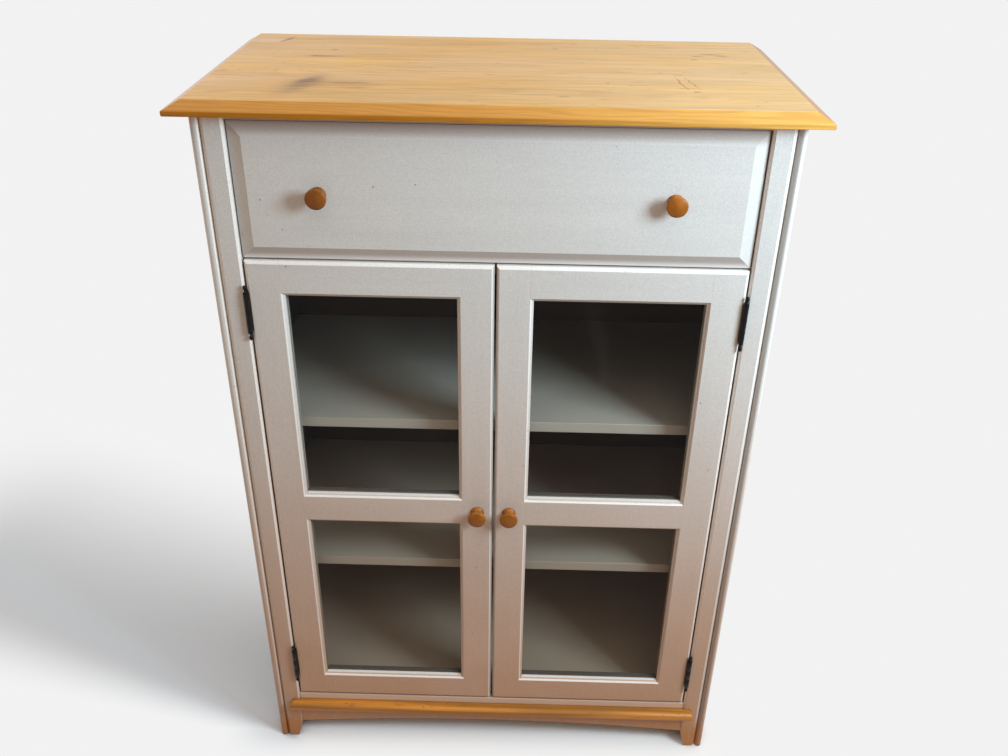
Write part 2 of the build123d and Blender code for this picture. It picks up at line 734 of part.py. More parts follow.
# ----------------------------------------------------------------------- doors
def pane_cutter(pane_z):
    """Everything routed away round one pane: sticking, sight line and rebate."""
    behind = Plane.XZ.offset(-FACE)
    quirk_depth = STICK_CHAMFER + STICK_QUIRK
    sight_rebate_x = SIGHT_X + 2 * REBATE
    sight_rebate_z = SIGHT_Z + 2 * REBATE
    slope = degrees(atan2(STICK_SLOPE_RUN, STICK_SLOPE_DROP))
    with BuildPart() as cutter:
        with BuildSketch(behind):
            with Locations((PANE_X, pane_z)):
                Rectangle(PANE_SPAN_X, PANE_SPAN_Z)
        extrude(amount=-STICK_CHAMFER, taper=45)
        with BuildSketch(behind.offset(-STICK_CHAMFER)):
            with Locations((PANE_X, pane_z)):
                Rectangle(PANE_SPAN_X - 2 * STICK_CHAMFER, PANE_SPAN_Z - 2 * STICK_CHAMFER)
        extrude(amount=-STICK_QUIRK)
        with BuildSketch(behind.offset(-quirk_depth)):
            with Locations((PANE_X, pane_z)):
                Rectangle(PANE_SPAN_X - 2 * STICK_CHAMFER, PANE_SPAN_Z - 2 * STICK_CHAMFER)
        extrude(amount=-STICK_SLOPE_DROP, taper=slope)
        with BuildSketch(behind):
            with Locations((PANE_X, pane_z)):
                Rectangle(SIGHT_X, SIGHT_Z)
        extrude(amount=-DOOR_THICKNESS)
        with BuildSketch(behind.offset(-GLASS_SETBACK)):
            with Locations((PANE_X, pane_z)):
                Rectangle(sight_rebate_x, sight_rebate_z)
        extrude(amount=GLASS_SETBACK - DOOR_THICKNESS)
    return cutter.part


def door_rail_spans():
    """Lower and upper face of the bottom, middle and top rail."""
    return {
        "bottom_rail": (DOOR_LOW, DOOR_LOW + DOOR_RAIL),
        "mid_rail": (MID_RAIL_Z - DOOR_MID_RAIL / 2, MID_RAIL_Z + DOOR_MID_RAIL / 2),
        "top_rail": (DOOR_HIGH - DOOR_RAIL, DOOR_HIGH),
    }


def door_tenon(z_span):
    """Through-run of a rail's two tenons, or the mortises for them."""
    middle = FACE + DOOR_THICKNESS / 2
    half = DOOR_TENON_THICKNESS / 2
    x_span = (PANE_X - PANE_SPAN_X / 2 - DOOR_TENON, PANE_X + PANE_SPAN_X / 2 + DOOR_TENON)
    low, high = z_span[0] + TENON_SHOULDER, z_span[1] - TENON_SHOULDER
    return board(x_span, (middle - half, middle + half), (low, high))


def door_blank():
    """The whole door's outer block, its four front arrises chamfered."""
    with BuildPart() as block:
        add(board((DOOR_INNER, DOOR_OUTER), (FACE, DOOR_BACK), (DOOR_LOW, DOOR_HIGH)))
        chamfer(block.faces().sort_by(Axis.Y)[0].edges(), length=DOOR_CHAMFER)
        for pane_z in PANE_HEIGHTS.values():
            add(pane_cutter(pane_z), mode=Mode.SUBTRACT)
        for height in HINGE_HEIGHTS:
            recess_x = (DOOR_OUTER - LEAF_RECESS, DOOR_OUTER)
            add(board(recess_x, (FACE, LEAF_BACK), hinge_z_span(height)), mode=Mode.SUBTRACT)
        add(knob_clearance(), mode=Mode.SUBTRACT)
    return block.part


def door_stile(block, x_span):
    """Full-height stile: its share of the block less the rails' mortises."""
    with BuildPart() as stile:
        add(block)
        add(board(x_span, (FACE, DOOR_BACK), (DOOR_LOW, DOOR_HIGH)), mode=Mode.INTERSECT)
        for z_span in door_rail_spans().values():
            shoulder = (DOOR_INNER + DOOR_STILE, DOOR_OUTER - DOOR_STILE)
            add(board(shoulder, (FACE, DOOR_BACK), z_span), mode=Mode.SUBTRACT)
            add(door_tenon(z_span), mode=Mode.SUBTRACT)
    return stile.part


def door_rail(block, z_span):
    """Rail between the stiles, with its two tenons."""
    edge = STICK_WIDTH
    shoulder = (DOOR_INNER + DOOR_STILE, DOOR_OUTER - DOOR_STILE)
    sight = (shoulder[0] + edge, shoulder[1] - edge)
    with BuildPart() as core:
        add(board(shoulder, (FACE, DOOR_BACK), z_span))
        add(board(sight, (FACE, DOOR_BACK), (z_span[0] - edge, z_span[1] + edge)))
    with BuildPart() as rail:
        add(block)
        add(core.part, mode=Mode.INTERSECT)
        add(door_tenon(z_span))
        add(knob_clearance(), mode=Mode.SUBTRACT)
    return rail.part


def knob_clearance():
    """Screw hole through the lock stile, which also passes the middle tenon."""
    return bar_along_y(SCREW_HOLE_RADIUS, DOOR_KNOB_X, MID_RAIL_Z, (FACE, DOOR_BACK))


def pane(pane_z):
    """Clear glass, bedded in the rebate."""
    front = FACE + GLASS_SETBACK
    half_x = SIGHT_X / 2 + REBATE - GLASS_CLEARANCE
    half_z = SIGHT_Z / 2 + REBATE - GLASS_CLEARANCE
    return board(
        (PANE_X - half_x, PANE_X + half_x),
        (front, front + GLASS_THICKNESS),
        (pane_z - half_z, pane_z + half_z),
    )


def glass_beads():
    """Mitred beads behind both panes, flush with the back of the door."""
    with BuildPart() as beads:
        for pane_z in PANE_HEIGHTS.values():
            with BuildSketch(Plane.XZ.offset(-DOOR_BACK)):
                with Locations((PANE_X, pane_z)):
                    Rectangle(SIGHT_X + 2 * REBATE, SIGHT_Z + 2 * REBATE)
                    Rectangle(SIGHT_X, SIGHT_Z, mode=Mode.SUBTRACT)
            extrude(amount=DOOR_THICKNESS - GLASS_SETBACK - GLASS_THICKNESS)
    return beads.part


def door_fittings():
    """Strike plate for the magnetic catch, and the knob's screw."""
    plate_z = DIVIDER_BOTTOM - CATCH_HEIGHT / 2
    plate_x = (CATCH_X - STRIKE_LENGTH / 2, CATCH_X + STRIKE_LENGTH / 2)
    plate_y = (DOOR_BACK, DOOR_BACK + STRIKE_THICKNESS)
    plate_span = (plate_z - STRIKE_HEIGHT / 2, plate_z + STRIKE_HEIGHT / 2)
    with BuildPart() as plate:
        add(board(plate_x, plate_y, plate_span))
        chamfer(plate.edges().filter_by(Axis.Y), length=PLATE_CORNER)
    with BuildPart() as fittings:
        add(plate.part)
        add(knob_screw(DOOR_KNOB_X, MID_RAIL_Z, DOOR_BACK))
    return fittings.part


def doors():
    """Both doors: five frame members, panes, beads, knob and metalwork."""
    block = door_blank()
    hinge_x = (DOOR_OUTER - DOOR_STILE - STICK_WIDTH, DOOR_OUTER)
    lock_x = (DOOR_INNER, DOOR_INNER + DOOR_STILE + STICK_WIDTH)
    pieces = {
        "hinge_stile": door_stile(block, hinge_x),
        "lock_stile": door_stile(block, lock_x),
        "upper_glass": pane(PANE_HEIGHTS["upper"]),
        "lower_glass": pane(PANE_HEIGHTS["lower"]),
        "glass_beads": glass_beads(),
        "knob": knob(DOOR_KNOB_X, MID_RAIL_Z),
        "hinge_leaves": hinge_group(hinge_leaf, False),
        "fittings": door_fittings(),
    }
    for name, z_span in door_rail_spans().items():
        pieces[name] = door_rail(block, z_span)
    for name, piece in pieces.items():
        save_pair(piece, f"left_door_{name}", f"right_door_{name}")


# -------------------------------------------------------------------- catches
def magnetic_catches():
    """Two catch bodies screwed under the divider rail, ears at both ends."""
    front = DOOR_BACK + STRIKE_THICKNESS
    low = DIVIDER_BOTTOM - CATCH_HEIGHT
    with BuildPart() as catch:
        x_span = (CATCH_X - CATCH_LENGTH / 2, CATCH_X + CATCH_LENGTH / 2)
        add(board(x_span, (front, front + CATCH_DEPTH), (low, DIVIDER_BOTTOM)))
        chamfer(catch.edges().filter_by(Axis.Y).group_by(Axis.Z)[0], length=PLATE_CORNER)
        ear_x = (x_span[0] - CATCH_EAR, x_span[1] + CATCH_EAR)
        ear_y = (front + CATCH_EAR_SETBACK, front + CATCH_DEPTH)
        ear_z = (DIVIDER_BOTTOM - CATCH_EAR_THICKNESS, DIVIDER_BOTTOM)
        add(board(ear_x, ear_y, ear_z))
    with BuildPart() as catches:
        add(catch.part)
        add(mirror(catch.part, about=Plane.YZ))
    return catches.part


# ------------------------------------------------------------------- the whole
save(top_board(), "top_board")
save_pair(front_stile(), "front_stile_left", "front_stile_right")
side_frame()
carcass_rails()
shelving()
save_pair(drawer_runner(), "drawer_runner_left", "drawer_runner_right")
save(drawer_kickers(), "drawer_kickers")
frame_hinge_parts()
save(magnetic_catches(), "magnetic_catches")
doors()
drawer()
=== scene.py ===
"""Finishes, turned knobs, hinge pins, screws and stage for a glazed pine cupboard."""

import json
import math

import bmesh
import bpy
from mathutils import Matrix, Vector


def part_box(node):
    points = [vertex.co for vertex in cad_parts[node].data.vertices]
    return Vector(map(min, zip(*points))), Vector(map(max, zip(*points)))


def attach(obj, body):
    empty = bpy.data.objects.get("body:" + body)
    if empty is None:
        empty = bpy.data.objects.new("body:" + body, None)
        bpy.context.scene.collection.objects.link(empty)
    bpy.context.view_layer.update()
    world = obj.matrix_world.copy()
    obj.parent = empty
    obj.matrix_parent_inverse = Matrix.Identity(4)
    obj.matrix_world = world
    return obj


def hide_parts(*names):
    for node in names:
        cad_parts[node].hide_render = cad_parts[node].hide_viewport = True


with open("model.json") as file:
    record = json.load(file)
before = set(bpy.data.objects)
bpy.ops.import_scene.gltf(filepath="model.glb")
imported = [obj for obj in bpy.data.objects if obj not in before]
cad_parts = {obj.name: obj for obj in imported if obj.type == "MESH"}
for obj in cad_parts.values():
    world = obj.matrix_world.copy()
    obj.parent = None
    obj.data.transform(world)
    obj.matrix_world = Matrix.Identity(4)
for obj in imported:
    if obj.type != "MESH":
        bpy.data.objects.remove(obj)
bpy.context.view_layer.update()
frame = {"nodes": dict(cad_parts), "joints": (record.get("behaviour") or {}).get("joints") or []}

bl_info = {
    "name": "Glazed Pine Cupboard",
    "version": (1, 0, 0),
    "blender": (4, 5, 0),
    "location": "3D View > Sidebar > Cupboard",
    "description": "Wood, paint, glass and hardware for a cupboard with a drawer and doors",
    "category": "Object",
}

NODES = frame["nodes"]
MM = 0.001
# each side of the cupboard, and its direction along X
SIDES = {"left": -1, "right": 1}


# ------------------------------------------------------------------- the frame
def middle(node):
    """Middle of a CAD node's box."""
    low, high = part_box(node)
    return (Vector(low) + Vector(high)) / 2


def hinge_axis(name):
    """A point on the axis of a door's hinge joint."""
    return next(Vector(joint["pos_m"]) for joint in frame["joints"] if joint["name"] == name)


DRAWER_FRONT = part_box("drawer_front")
DRAWER_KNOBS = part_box("drawer_knobs")
DOOR_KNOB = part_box("right_door_knob")
DOOR_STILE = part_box("right_door_lock_stile")
DOOR_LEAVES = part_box("right_door_hinge_leaves")
HINGE_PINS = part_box("hinge_pins")
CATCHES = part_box("magnetic_catches")
BACK_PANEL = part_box("back_panel")
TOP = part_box("top_board")

FACE = DOOR_STILE[0][1]
DOOR_BACK = DOOR_STILE[1][1]
DRAWER_INSIDE = DRAWER_FRONT[1][1]
GLASS_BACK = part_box("right_door_upper_glass")[1][1]
SIDE_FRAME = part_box("side_front_leg_right")[0][0]
MOULDING_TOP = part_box("base_moulding")[1][2]
RAIL_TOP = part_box("front_bottom_rail")[1][2]
KNOB_RADIUS = (DOOR_KNOB[1][2] - DOOR_KNOB[0][2]) / 2
KNOB_PROJECTION = DOOR_KNOB[1][1] - DOOR_KNOB[0][1]
HINGE_AXIS = hinge_axis("right_door_hinge")
# length of a leaf, and the gap between a hinge's two leaves when its door is shut
HINGE_LENGTH = 64 * MM
LEAF_GAP = 0.6 * MM
HINGE_HEIGHTS = (
    DOOR_LEAVES[0][2] + HINGE_LENGTH / 2,
    DOOR_LEAVES[1][2] - HINGE_LENGTH / 2,
)
TIP_LENGTH = HINGE_PINS[1][2] - DOOR_LEAVES[1][2]


def drawer_knob_places():
    """Centres of the drawer's knobs on its front."""
    height = (DRAWER_KNOBS[0][2] + DRAWER_KNOBS[1][2]) / 2
    reach = DRAWER_KNOBS[1][0] - KNOB_RADIUS
    return [(-reach, FACE, height), (reach, FACE, height)]


# --------------------------------------------------------------------- colours
def linear(code):
    """Turns an sRGB hex colour into linear values with full opacity."""
    values = []
    for start in (0, 2, 4):
        level = int(code[start : start + 2], 16) / 255
        if level <= 0.04045:
            values.append(level / 12.92)
        else:
            values.append(((level + 0.055) / 1.055) ** 2.4)
    return (*values, 1.0)


BLACK = linear("000000")
WHITE = linear("FFFFFF")


def colour_property(name, description, code):
    """A colour that the user can change."""
    return bpy.props.FloatVectorProperty(
        name=name,
        description=description,
        subtype="COLOR",
        size=4,
        min=0.0,
        max=1.0,
        default=linear(code),
    )


class CupboardColours(bpy.types.PropertyGroup):
    """Colours of the cupboard's finishes."""

    paint: colour_property("Paint", "Satin paint where it has kept its white", "DBDBD8")
    # the clean paint also stands for a painted highlight on chamfers and sills
    paint_clean_and_highlit: colour_property("Clean paint", "Paint on chamfers that are wiped clean", "F8F5F0")
    # the aged paint also stands for painted shade and warm bounce light near the floor
    paint_aged_and_shaded: colour_property("Aged paint", "Paint yellowed and handled near the floor", "C19779")
    paint_inside: colour_property("Inside stain", "Unpainted wood inside the cupboard", "4A3328")
    worn_wood: colour_property("Worn feet", "Wood that shows where paint is scuffed off", "B27840")
    board: colour_property("Shelf board", "White melamine shelves and bottom", "E8DFD2")
    pine: colour_property("Pine", "Earlywood of the lacquered top", "EBBC6A")
    pine_ring: colour_property("Pine rings", "Latewood lines of the lacquered top", "BE8546")
    pine_worn: colour_property("Worn pine", "Top where the lacquer is rubbed pale", "E2BC88")
    pine_edge: colour_property("Pine edges", "Bevels where the lacquer is still deep", "D0933E")
    moulding: colour_property("Moulding", "Amber lacquer of the base moulding", "D48A30")
    bare_pine: colour_property("Bare pine", "Unfinished pine of the drawer box", "D2B183")
    knob: colour_property("Knob wood", "Stained and lacquered knobs", "B8701C")
    knob_face: colour_property("Knob face", "Darker lacquer on the knobs' faces", "965408")
    hardboard: colour_property("Hardboard", "Back panel and drawer bottom", "4B3123")
    bronze: colour_property("Dark bronze", "Lacquered steel of the hinges", "141110")
    plastic: colour_property("Catch plastic", "Moulded catch bodies", "DCDAD4")
    floor: colour_property("Floor", "Pale studio floor", "E0F0FF")


def length_property(name, description, default, least, most):
    """A length in metres that the user can change."""
    return bpy.props.FloatProperty(
        name=name,
        description=description,
        default=default,
        min=least,
        max=most,
        unit="LENGTH",
    )


class CupboardSizes(bpy.types.PropertyGroup):
    """Sizes of the details that the finishes add."""

    paint_arris: length_property(
        "Painted arris", "Softening of the painted edges", 0.6 * MM, 0.0, 2 * MM
    )
    top_arris: length_property(
        "Top arris", "Softening of the lacquered edges", 1.0 * MM, 0.0, 2 * MM
    )
    board_arris: length_property(
        "Board arris", "Softening of unpainted boards and metal", 0.3 * MM, 0.0, 1 * MM
    )
    knob_radius: length_property(
        "Knob radius", "Largest radius of a turned knob", KNOB_RADIUS, 10 * MM, 16 * MM
    )
    knob_projection: length_property(
        "Knob projection", "How far a knob stands out", KNOB_PROJECTION, 15 * MM, 26 * MM
    )
    screw_head: length_property(
        "Screw head", "Diameter of the knob screws' heads", 8 * MM, 5 * MM, 10 * MM
    )
    panel_pin_spacing: length_property(
        "Panel pin spacing", "Distance between the back's pins", 110 * MM, 50 * MM, 200 * MM
    )


def sizes():
    """Sizes set on the scene."""
    return bpy.context.scene.cupboard_sizes


def colours():
    """Colours set on the scene."""
    return bpy.context.scene.cupboard_colours


# ----------------------------------------------------------------- shader nodes
def add_node(tree, kind, inputs=None, output=0, **settings):
    """Adds a shader node with its settings and links, and gives one of its outputs."""
    made = tree.nodes.new(kind)
    for name, value in settings.items():
        setattr(made, name, value)
    for socket, value in (inputs or {}).items():
        if isinstance(value, bpy.types.NodeSocket):
            tree.links.new(value, made.inputs[socket])
        else:
            made.inputs[socket].default_value = value
    return made.outputs[output] if made.outputs else None


def new_material(name):
    """Material with an empty node tree, and the place of each point on its piece."""
    material = bpy.data.materials.new(name)
    material.use_nodes = True
    tree = material.node_tree
    tree.nodes.clear()
    return material, tree, add_node(tree, "ShaderNodeTexCoord", output="Object")


def grain(tree, place, per_metre, span, levels=(0.0, 1.0), detail=2.0, warp=0.0):
    """Noise with so many features per metre on each axis, spread between two levels."""
    mapped = add_node(tree, "ShaderNodeMapping", {"Vector": place, "Scale": per_metre})
    noise = add_node(
        tree,
        "ShaderNodeTexNoise",
        {"Vector": mapped, "Scale": 1.0, "Detail": detail, "Distortion": warp},
    )
    return add_node(
        tree,
        "ShaderNodeMapRange",
        {"Value": noise, 1: span[0], 2: span[1], 3: levels[0], 4: levels[1]},
        interpolation_type="SMOOTHSTEP",
    )


def fade(tree, place, axis, ends, levels=(0.0, 1.0)):
    """Smooth change of level between two places on an axis, in metres."""
    along = add_node(tree, "ShaderNodeSeparateXYZ", {0: place}, axis)
    return add_node(
        tree,
        "ShaderNodeMapRange",
        {"Value": along, 1: ends[0], 2: ends[1], 3: levels[0], 4: levels[1]},
        interpolation_type="SMOOTHSTEP",
    )


def together(tree, shares, operation="MULTIPLY"):
    """One level from several: their product, or what another operation makes."""
    level = shares[0]
    for share in shares[1:]:
        level = add_node(tree, "ShaderNodeMath", {0: level, 1: share}, operation=operation)
    return level


def stain(tree, colour, tint, *shares):
    """Colour turned towards a tint, by the product of these shares."""
    return add_node(
        tree,
        "ShaderNodeMix",
        {0: together(tree, shares), 6: colour, 7: tint},
        2,
        data_type="RGBA",
    )


def shade(tree, colour, *levels):
    """Colour made darker or lighter by each of these levels in turn."""
    for level in levels:
        grey = add_node(tree, "ShaderNodeCombineColor", {0: level, 1: level, 2: level})
        colour = add_node(
            tree,
            "ShaderNodeMix",
            {0: 1.0, 6: colour, 7: grey},
            2,
            data_type="RGBA",
            blend_type="MULTIPLY",
        )
    return colour


def specks(tree, place, per_metre, radius, share):
    """Sparse round specks: one in each cell, in about this share of the cells."""
    cell = add_node(tree, "ShaderNodeTexVoronoi", {"Vector": place, "Scale": per_metre})
    rim = radius * per_metre
    core = rim * 0.4
    dot = add_node(
        tree,
        "ShaderNodeMapRange",
        {"Value": cell, 1: rim, 2: core},
        interpolation_type="SMOOTHSTEP",
    )
    chance = add_node(tree, "ShaderNodeSeparateColor", {0: cell.node.outputs["Color"]})
    chosen = together(tree, (chance, 1.0 - share), "GREATER_THAN")
    return together(tree, (dot, chosen))


def mark(tree, place, centre, half_size, angle, soft):
    """Elliptical mark in plan: 1 inside, fading to 0 over its soft outer share."""
    local = add_node(
        tree,
        "ShaderNodeMapping",
        {
            "Vector": place,
            "Location": (*centre, 0.0),
            "Rotation": (0.0, 0.0, math.radians(angle)),
            "Scale": (*half_size, 1.0),
        },
        vector_type="TEXTURE",
    )
    flat = add_node(
        tree, "ShaderNodeVectorMath", {0: local, 1: (1.0, 1.0, 0.0)}, operation="MULTIPLY"
    )
    reach = add_node(tree, "ShaderNodeVectorMath", {0: flat}, "Value", operation="LENGTH")
    return add_node(
        tree,
        "ShaderNodeMapRange",
        {"Value": reach, 1: 1.0, 2: 1.0 - soft},
        interpolation_type="SMOOTHSTEP",
    )


def grime_and_shade(tree, reach, open_share, most):
    """Dirt and painted shade where less than this share of the air within reach is open."""
    corner = add_node(tree, "ShaderNodeAmbientOcclusion", {"Distance": reach}, "AO", samples=6)
    return add_node(
        tree,
        "ShaderNodeMapRange",
        {"Value": corner, 1: open_share, 2: open_share - 0.5, 3: 0.0, 4: most},
        interpolation_type="SMOOTHSTEP",
    )


def seen(tree):
    """1 for rays that show the surface: to the camera, in gloss or through glass."""
    camera = add_node(tree, "ShaderNodeLightPath", output="Is Camera Ray")
    path = camera.node
    rays = (camera, path.outputs["Is Glossy Ray"], path.outputs["Is Transmission Ray"])
    return together(tree, rays, "MAXIMUM")


def finish(tree, colour, roughness, relief, depth, **plain):
    """Surface of this colour and roughness, raised by a relief of this depth.

    The names in plain are those of the shader's other sockets, with underscores.
    """
    normal = add_node(
        tree, "ShaderNodeBump", {"Height": relief, "Distance": depth, "Strength": 0.5}
    )
    inputs = {"Base Color": colour, "Roughness": roughness, "Normal": normal}
    inputs.update((name.replace("_", " "), value) for name, value in plain.items())
    surface = add_node(tree, "ShaderNodeBsdfPrincipled", inputs)
    add_node(tree, "ShaderNodeOutputMaterial", {"Surface": surface})


# ------------------------------------------------------------------- materials
# features per metre along X, Y and Z: fibres 1.5 mm apart and 60 mm long, and
# streaks 33 mm apart and 400 mm long, along the grain
FIBRES = {"x": (16.0, 650.0, 650.0), "y": (650.0, 16.0, 650.0), "z": (650.0, 650.0, 16.0)}
STREAKS = {"x": (2.5, 30.0, 30.0), "z": (30.0, 30.0, 2.5)}
RINGS = {"x": (1.8, 60.0, 60.0), "y": (60.0, 1.8, 60.0)}

# the inside is coloured dark brown: behind the stiles, above the bottom
INSIDE_HALF_WIDTH = 388.4 * MM
INSIDE_FRONT = DOOR_BACK + 0.9 * MM
INSIDE_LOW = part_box("bottom_board")[0][2] - 1.5 * MM
EDGE = 0.4 * MM


def yellowed_and_shaded_paint(tree, place, turned, ledge):
    """White paint darker and warmer towards the floor, most on broad upright faces: partly
    yellowing, partly painted shade and warm bounce light from a wooden floor.
    """
    hue = colours()
    patches = grain(tree, place, (5.0, 5.0, 5.0), (0.1, 0.75), (0.8, 1.0), 3.0)
    side = add_node(tree, "ShaderNodeSeparateXYZ", {0: turned})
    square = together(tree, (side, side.node.outputs[1]), "MAXIMUM")
    # chamfers are paler: partly wiped clean, partly a painted highlight where they catch the light
    broad = add_node(
        tree,
        "ShaderNodeMapRange",
        {"Value": square, 1: 0.74, 2: 0.92},
        interpolation_type="SMOOTHSTEP",
    )
    darkened = add_node(
        tree, "ShaderNodeMath", {0: broad, 1: 0.5, 2: 0.5}, operation="MULTIPLY_ADD"
    )
    # up-facing sills stay pale as a painted highlight where light falls on them; ledges close to
    # the floor do not
    above_floor = fade(tree, place, 2, (0.12, 0.15), (0.3, -0.45))
    darkened = add_node(
        tree,
        "ShaderNodeMath",
        {0: ledge, 1: above_floor, 2: darkened},
        operation="MULTIPLY_ADD",
        use_clamp=True,
    )
    # painted shade and warm bounce light, with some yellowing: the paint turns darker and warmer
    # towards the floor
    low = fade(tree, place, 2, (1.05, 0.05))
    colour = stain(tree, hue.paint_clean_and_highlit[:], hue.paint[:], broad)
    return stain(tree, colour, hue.paint_aged_and_shaded[:], low, patches, darkened)


def dirty_and_shaded_paint(tree, colour, place, normal, turned, ledge):
    """The colour with the paint's specks and scuffs, dirt and painted shade in corners, painted
    shade under the top, on downward faces, on the right leg, behind the glass and where the doors
    meet, and paler bands on the drawer's lip and the bottom rail.
    """
    more_low = fade(tree, place, 2, (1.0, 0.2), (0.45, 1.0))
    scuffs = grain(tree, place, (24.0, 24.0, 60.0), (0.70, 0.80), (0.0, 0.35), 4.0)
    # fly specks are about 0.5 mm wide; drawn at 2 to 3 mm, with soft rims, so that they show
    large = specks(tree, place, 38.0, 1.5 * MM, 0.28)
    small = specks(tree, place, 75.0, 1.0 * MM, 0.10)
    colour = stain(tree, colour, linear("5B4030"), large, 0.8)
    colour = stain(tree, colour, linear("6D5040"), small, more_low, 0.8)
    colour = stain(tree, colour, linear("B7A595"), scuffs)
    # dirt and painted shade in corners and recesses
    colour = stain(tree, colour, linear("806550"), grime_and_shade(tree, 6 * MM, 0.62, 0.6))

    # painted shadow of the top's overhang on the drawer's top bevel, and painted shade on faces
    # that look down
    drawer_low, drawer_top = DRAWER_FRONT[0][2], DRAWER_FRONT[1][2]
    half_width = DRAWER_FRONT[1][0]
    across = add_node(tree, "ShaderNodeVectorMath", {0: place}, operation="ABSOLUTE")
    between_stiles = fade(tree, across, 0, (half_width + EDGE, half_width))
    overhang_shadow = fade(tree, place, 2, (drawer_top - 22 * MM, drawer_top - 8 * MM), (0.0, 0.5))
    colour = stain(tree, colour, linear("8A6F60"), overhang_shadow, between_stiles)
    downward = fade(tree, normal, 2, (-0.20, -0.35))
    colour = stain(tree, colour, linear("8A7566"), downward, 0.45)

    # the drawer's bottom bevel is painted paler towards its lower edge
    on_drawer = fade(tree, place, 2, (drawer_low - EDGE, drawer_low))
    lip = fade(tree, place, 2, (drawer_low + 11 * MM, drawer_low + 1 * MM), (0.0, 0.65))
    wiped = together(tree, (on_drawer, lip))
    colour = stain(tree, colour, WHITE, downward, wiped, between_stiles)

    # the rail between the moulding and the doors is painted paler
    over_moulding = fade(tree, place, 2, (MOULDING_TOP - 1 * MM, MOULDING_TOP + 3 * MM))
    on_rail = fade(tree, place, 2, (RAIL_TOP + EDGE, RAIL_TOP))
    rubbed = together(tree, (over_moulding, on_rail))
    colour = stain(tree, colour, linear("F4E2D0"), rubbed, between_stiles, 0.38)

    # painted shade on the right leg's round, on the side that faces the stile and away from the
    # window light
    facing_left = fade(tree, normal, 0, (0.25, -0.25), (0.0, 0.5))
    right_leg = fade(tree, place, 0, (SIDE_FRAME - EDGE, SIDE_FRAME))
    leg_front = fade(tree, place, 1, (FACE + 30 * MM, FACE + 15 * MM))
    colour = stain(tree, colour, linear("6A6660"), facing_left, right_leg, leg_front)

    # painted shade on the ledges behind the glass, and on the door edges where the doors meet
    behind_glass = fade(tree, place, 1, (GLASS_BACK - EDGE, GLASS_BACK), (0.0, 0.85))
    colour = stain(tree, colour, linear("4A3A2E"), ledge, behind_glass)
    facing_side = fade(tree, turned, 0, (0.5, 0.9))
    meeting = fade(tree, across, 0, (5 * MM, 3 * MM), (0.0, 0.85))
    return stain(tree, colour, linear("2A221C"), meeting, facing_side)


def bare_feet_and_dark_inside(tree, colour, place):
    """The colour with wood worn bare on the feet, and dark brown inside the cupboard."""
    hue = colours()
    foot = fade(tree, place, 2, (95 * MM, 25 * MM))
    worn = grain(tree, place, (70.0, 70.0, 30.0), (0.24, 0.48), (0.2, 0.95), 4.0)
    colour = stain(tree, colour, hue.worn_wood[:], foot, worn)
    across = add_node(tree, "ShaderNodeVectorMath", {0: place}, operation="ABSOLUTE")
    between = fade(tree, across, 0, (INSIDE_HALF_WIDTH + EDGE, INSIDE_HALF_WIDTH))
    behind = fade(tree, place, 1, (INSIDE_FRONT - EDGE, INSIDE_FRONT))
    above = fade(tree, place, 2, (INSIDE_LOW - EDGE, INSIDE_LOW))
    return stain(tree, colour, hue.paint_inside[:], between, behind, above)


def satin_paint_on_pine(direction):
    """Satin alkyd paint rolled on pine.

    It gives a soft sheen, grain that shows faintly through the film, a fine
    roller stipple, small dark specks, yellowing with painted shade and warm bounce
    light near the floor, paler chamfers and sills as painted highlight, dirt and
    painted shade in the corners, painted shade under the top and behind the glass,
    wood worn bare on the feet and dark brown on the inside.
    """
    material, tree, place = new_material(f"satin_paint_on_pine_grain_{direction}")
    fibres = grain(tree, place, FIBRES[direction], (0.25, 0.75), detail=3.0)
    streaks = grain(tree, place, STREAKS[direction], (0.25, 0.8), (0.95, 1.0))
    # roller stipple is about 1 mm across; drawn at 1.6 mm so that it shows
    stipple = grain(tree, place, (620.0, 620.0, 620.0), (0.3, 0.7))
    normal = add_node(tree, "ShaderNodeTexCoord", output="Normal")
    turned = add_node(tree, "ShaderNodeVectorMath", {0: normal}, operation="ABSOLUTE")
    ledge = fade(tree, turned, 2, (0.3, 0.9))

    colour = yellowed_and_shaded_paint(tree, place, turned, ledge)
    fine = add_node(
        tree, "ShaderNodeMath", {0: stipple, 1: 0.13, 2: 0.905}, operation="MULTIPLY_ADD"
    )
    long = add_node(
        tree, "ShaderNodeMath", {0: fibres, 1: 0.035, 2: 0.965}, operation="MULTIPLY_ADD"
    )
    colour = shade(tree, colour, fine, long, streaks)
    colour = dirty_and_shaded_paint(tree, colour, place, normal, turned, ledge)
    colour = bare_feet_and_dark_inside(tree, colour, place)

    rough = add_node(
        tree, "ShaderNodeMath", {0: stipple, 1: 0.12, 2: 0.40}, operation="MULTIPLY_ADD"
    )
    relief = together(tree, (fibres, stipple), "ADD")
    finish(tree, colour, rough, relief, 0.05 * MM)
    return material


def growth_rings(tree, place, spacing, board_width):
    """Ring lines of flat-sawn boards that lie along X, and each board's chance value."""
    across = add_node(tree, "ShaderNodeSeparateXYZ", {0: place}, 1)
    boards = together(tree, (across, 1.0 / board_width))
    number = add_node(tree, "ShaderNodeMath", {0: boards}, operation="FLOOR")
    chance = add_node(tree, "ShaderNodeTexWhiteNoise", {"W": number}, noise_dimensions="1D")
    # each board is cut from another part of the log, so its pattern is shifted
    shifted = add_node(
        tree,
        "ShaderNodeVectorMath",
        {0: chance.node.outputs["Color"], 1: (3.0, 0.0, 0.4), 2: place},
        operation="MULTIPLY_ADD",
    )
    bend = grain(tree, shifted, (1.6, 11.0, 11.0), (0.0, 1.0), (0.0, 0.10))
    phase = together(tree, (across, bend), "ADD")
    turns = together(tree, (phase, 2 * math.pi / spacing))
    wave = add_node(tree, "ShaderNodeMath", {0: turns}, operation="SINE")
    lines = add_node(
        tree,
        "ShaderNodeMapRange",
        {"Value": wave, 1: -0.2, 2: 1.0},
        interpolation_type="SMOOTHSTEP",
    )
    return lines, chance


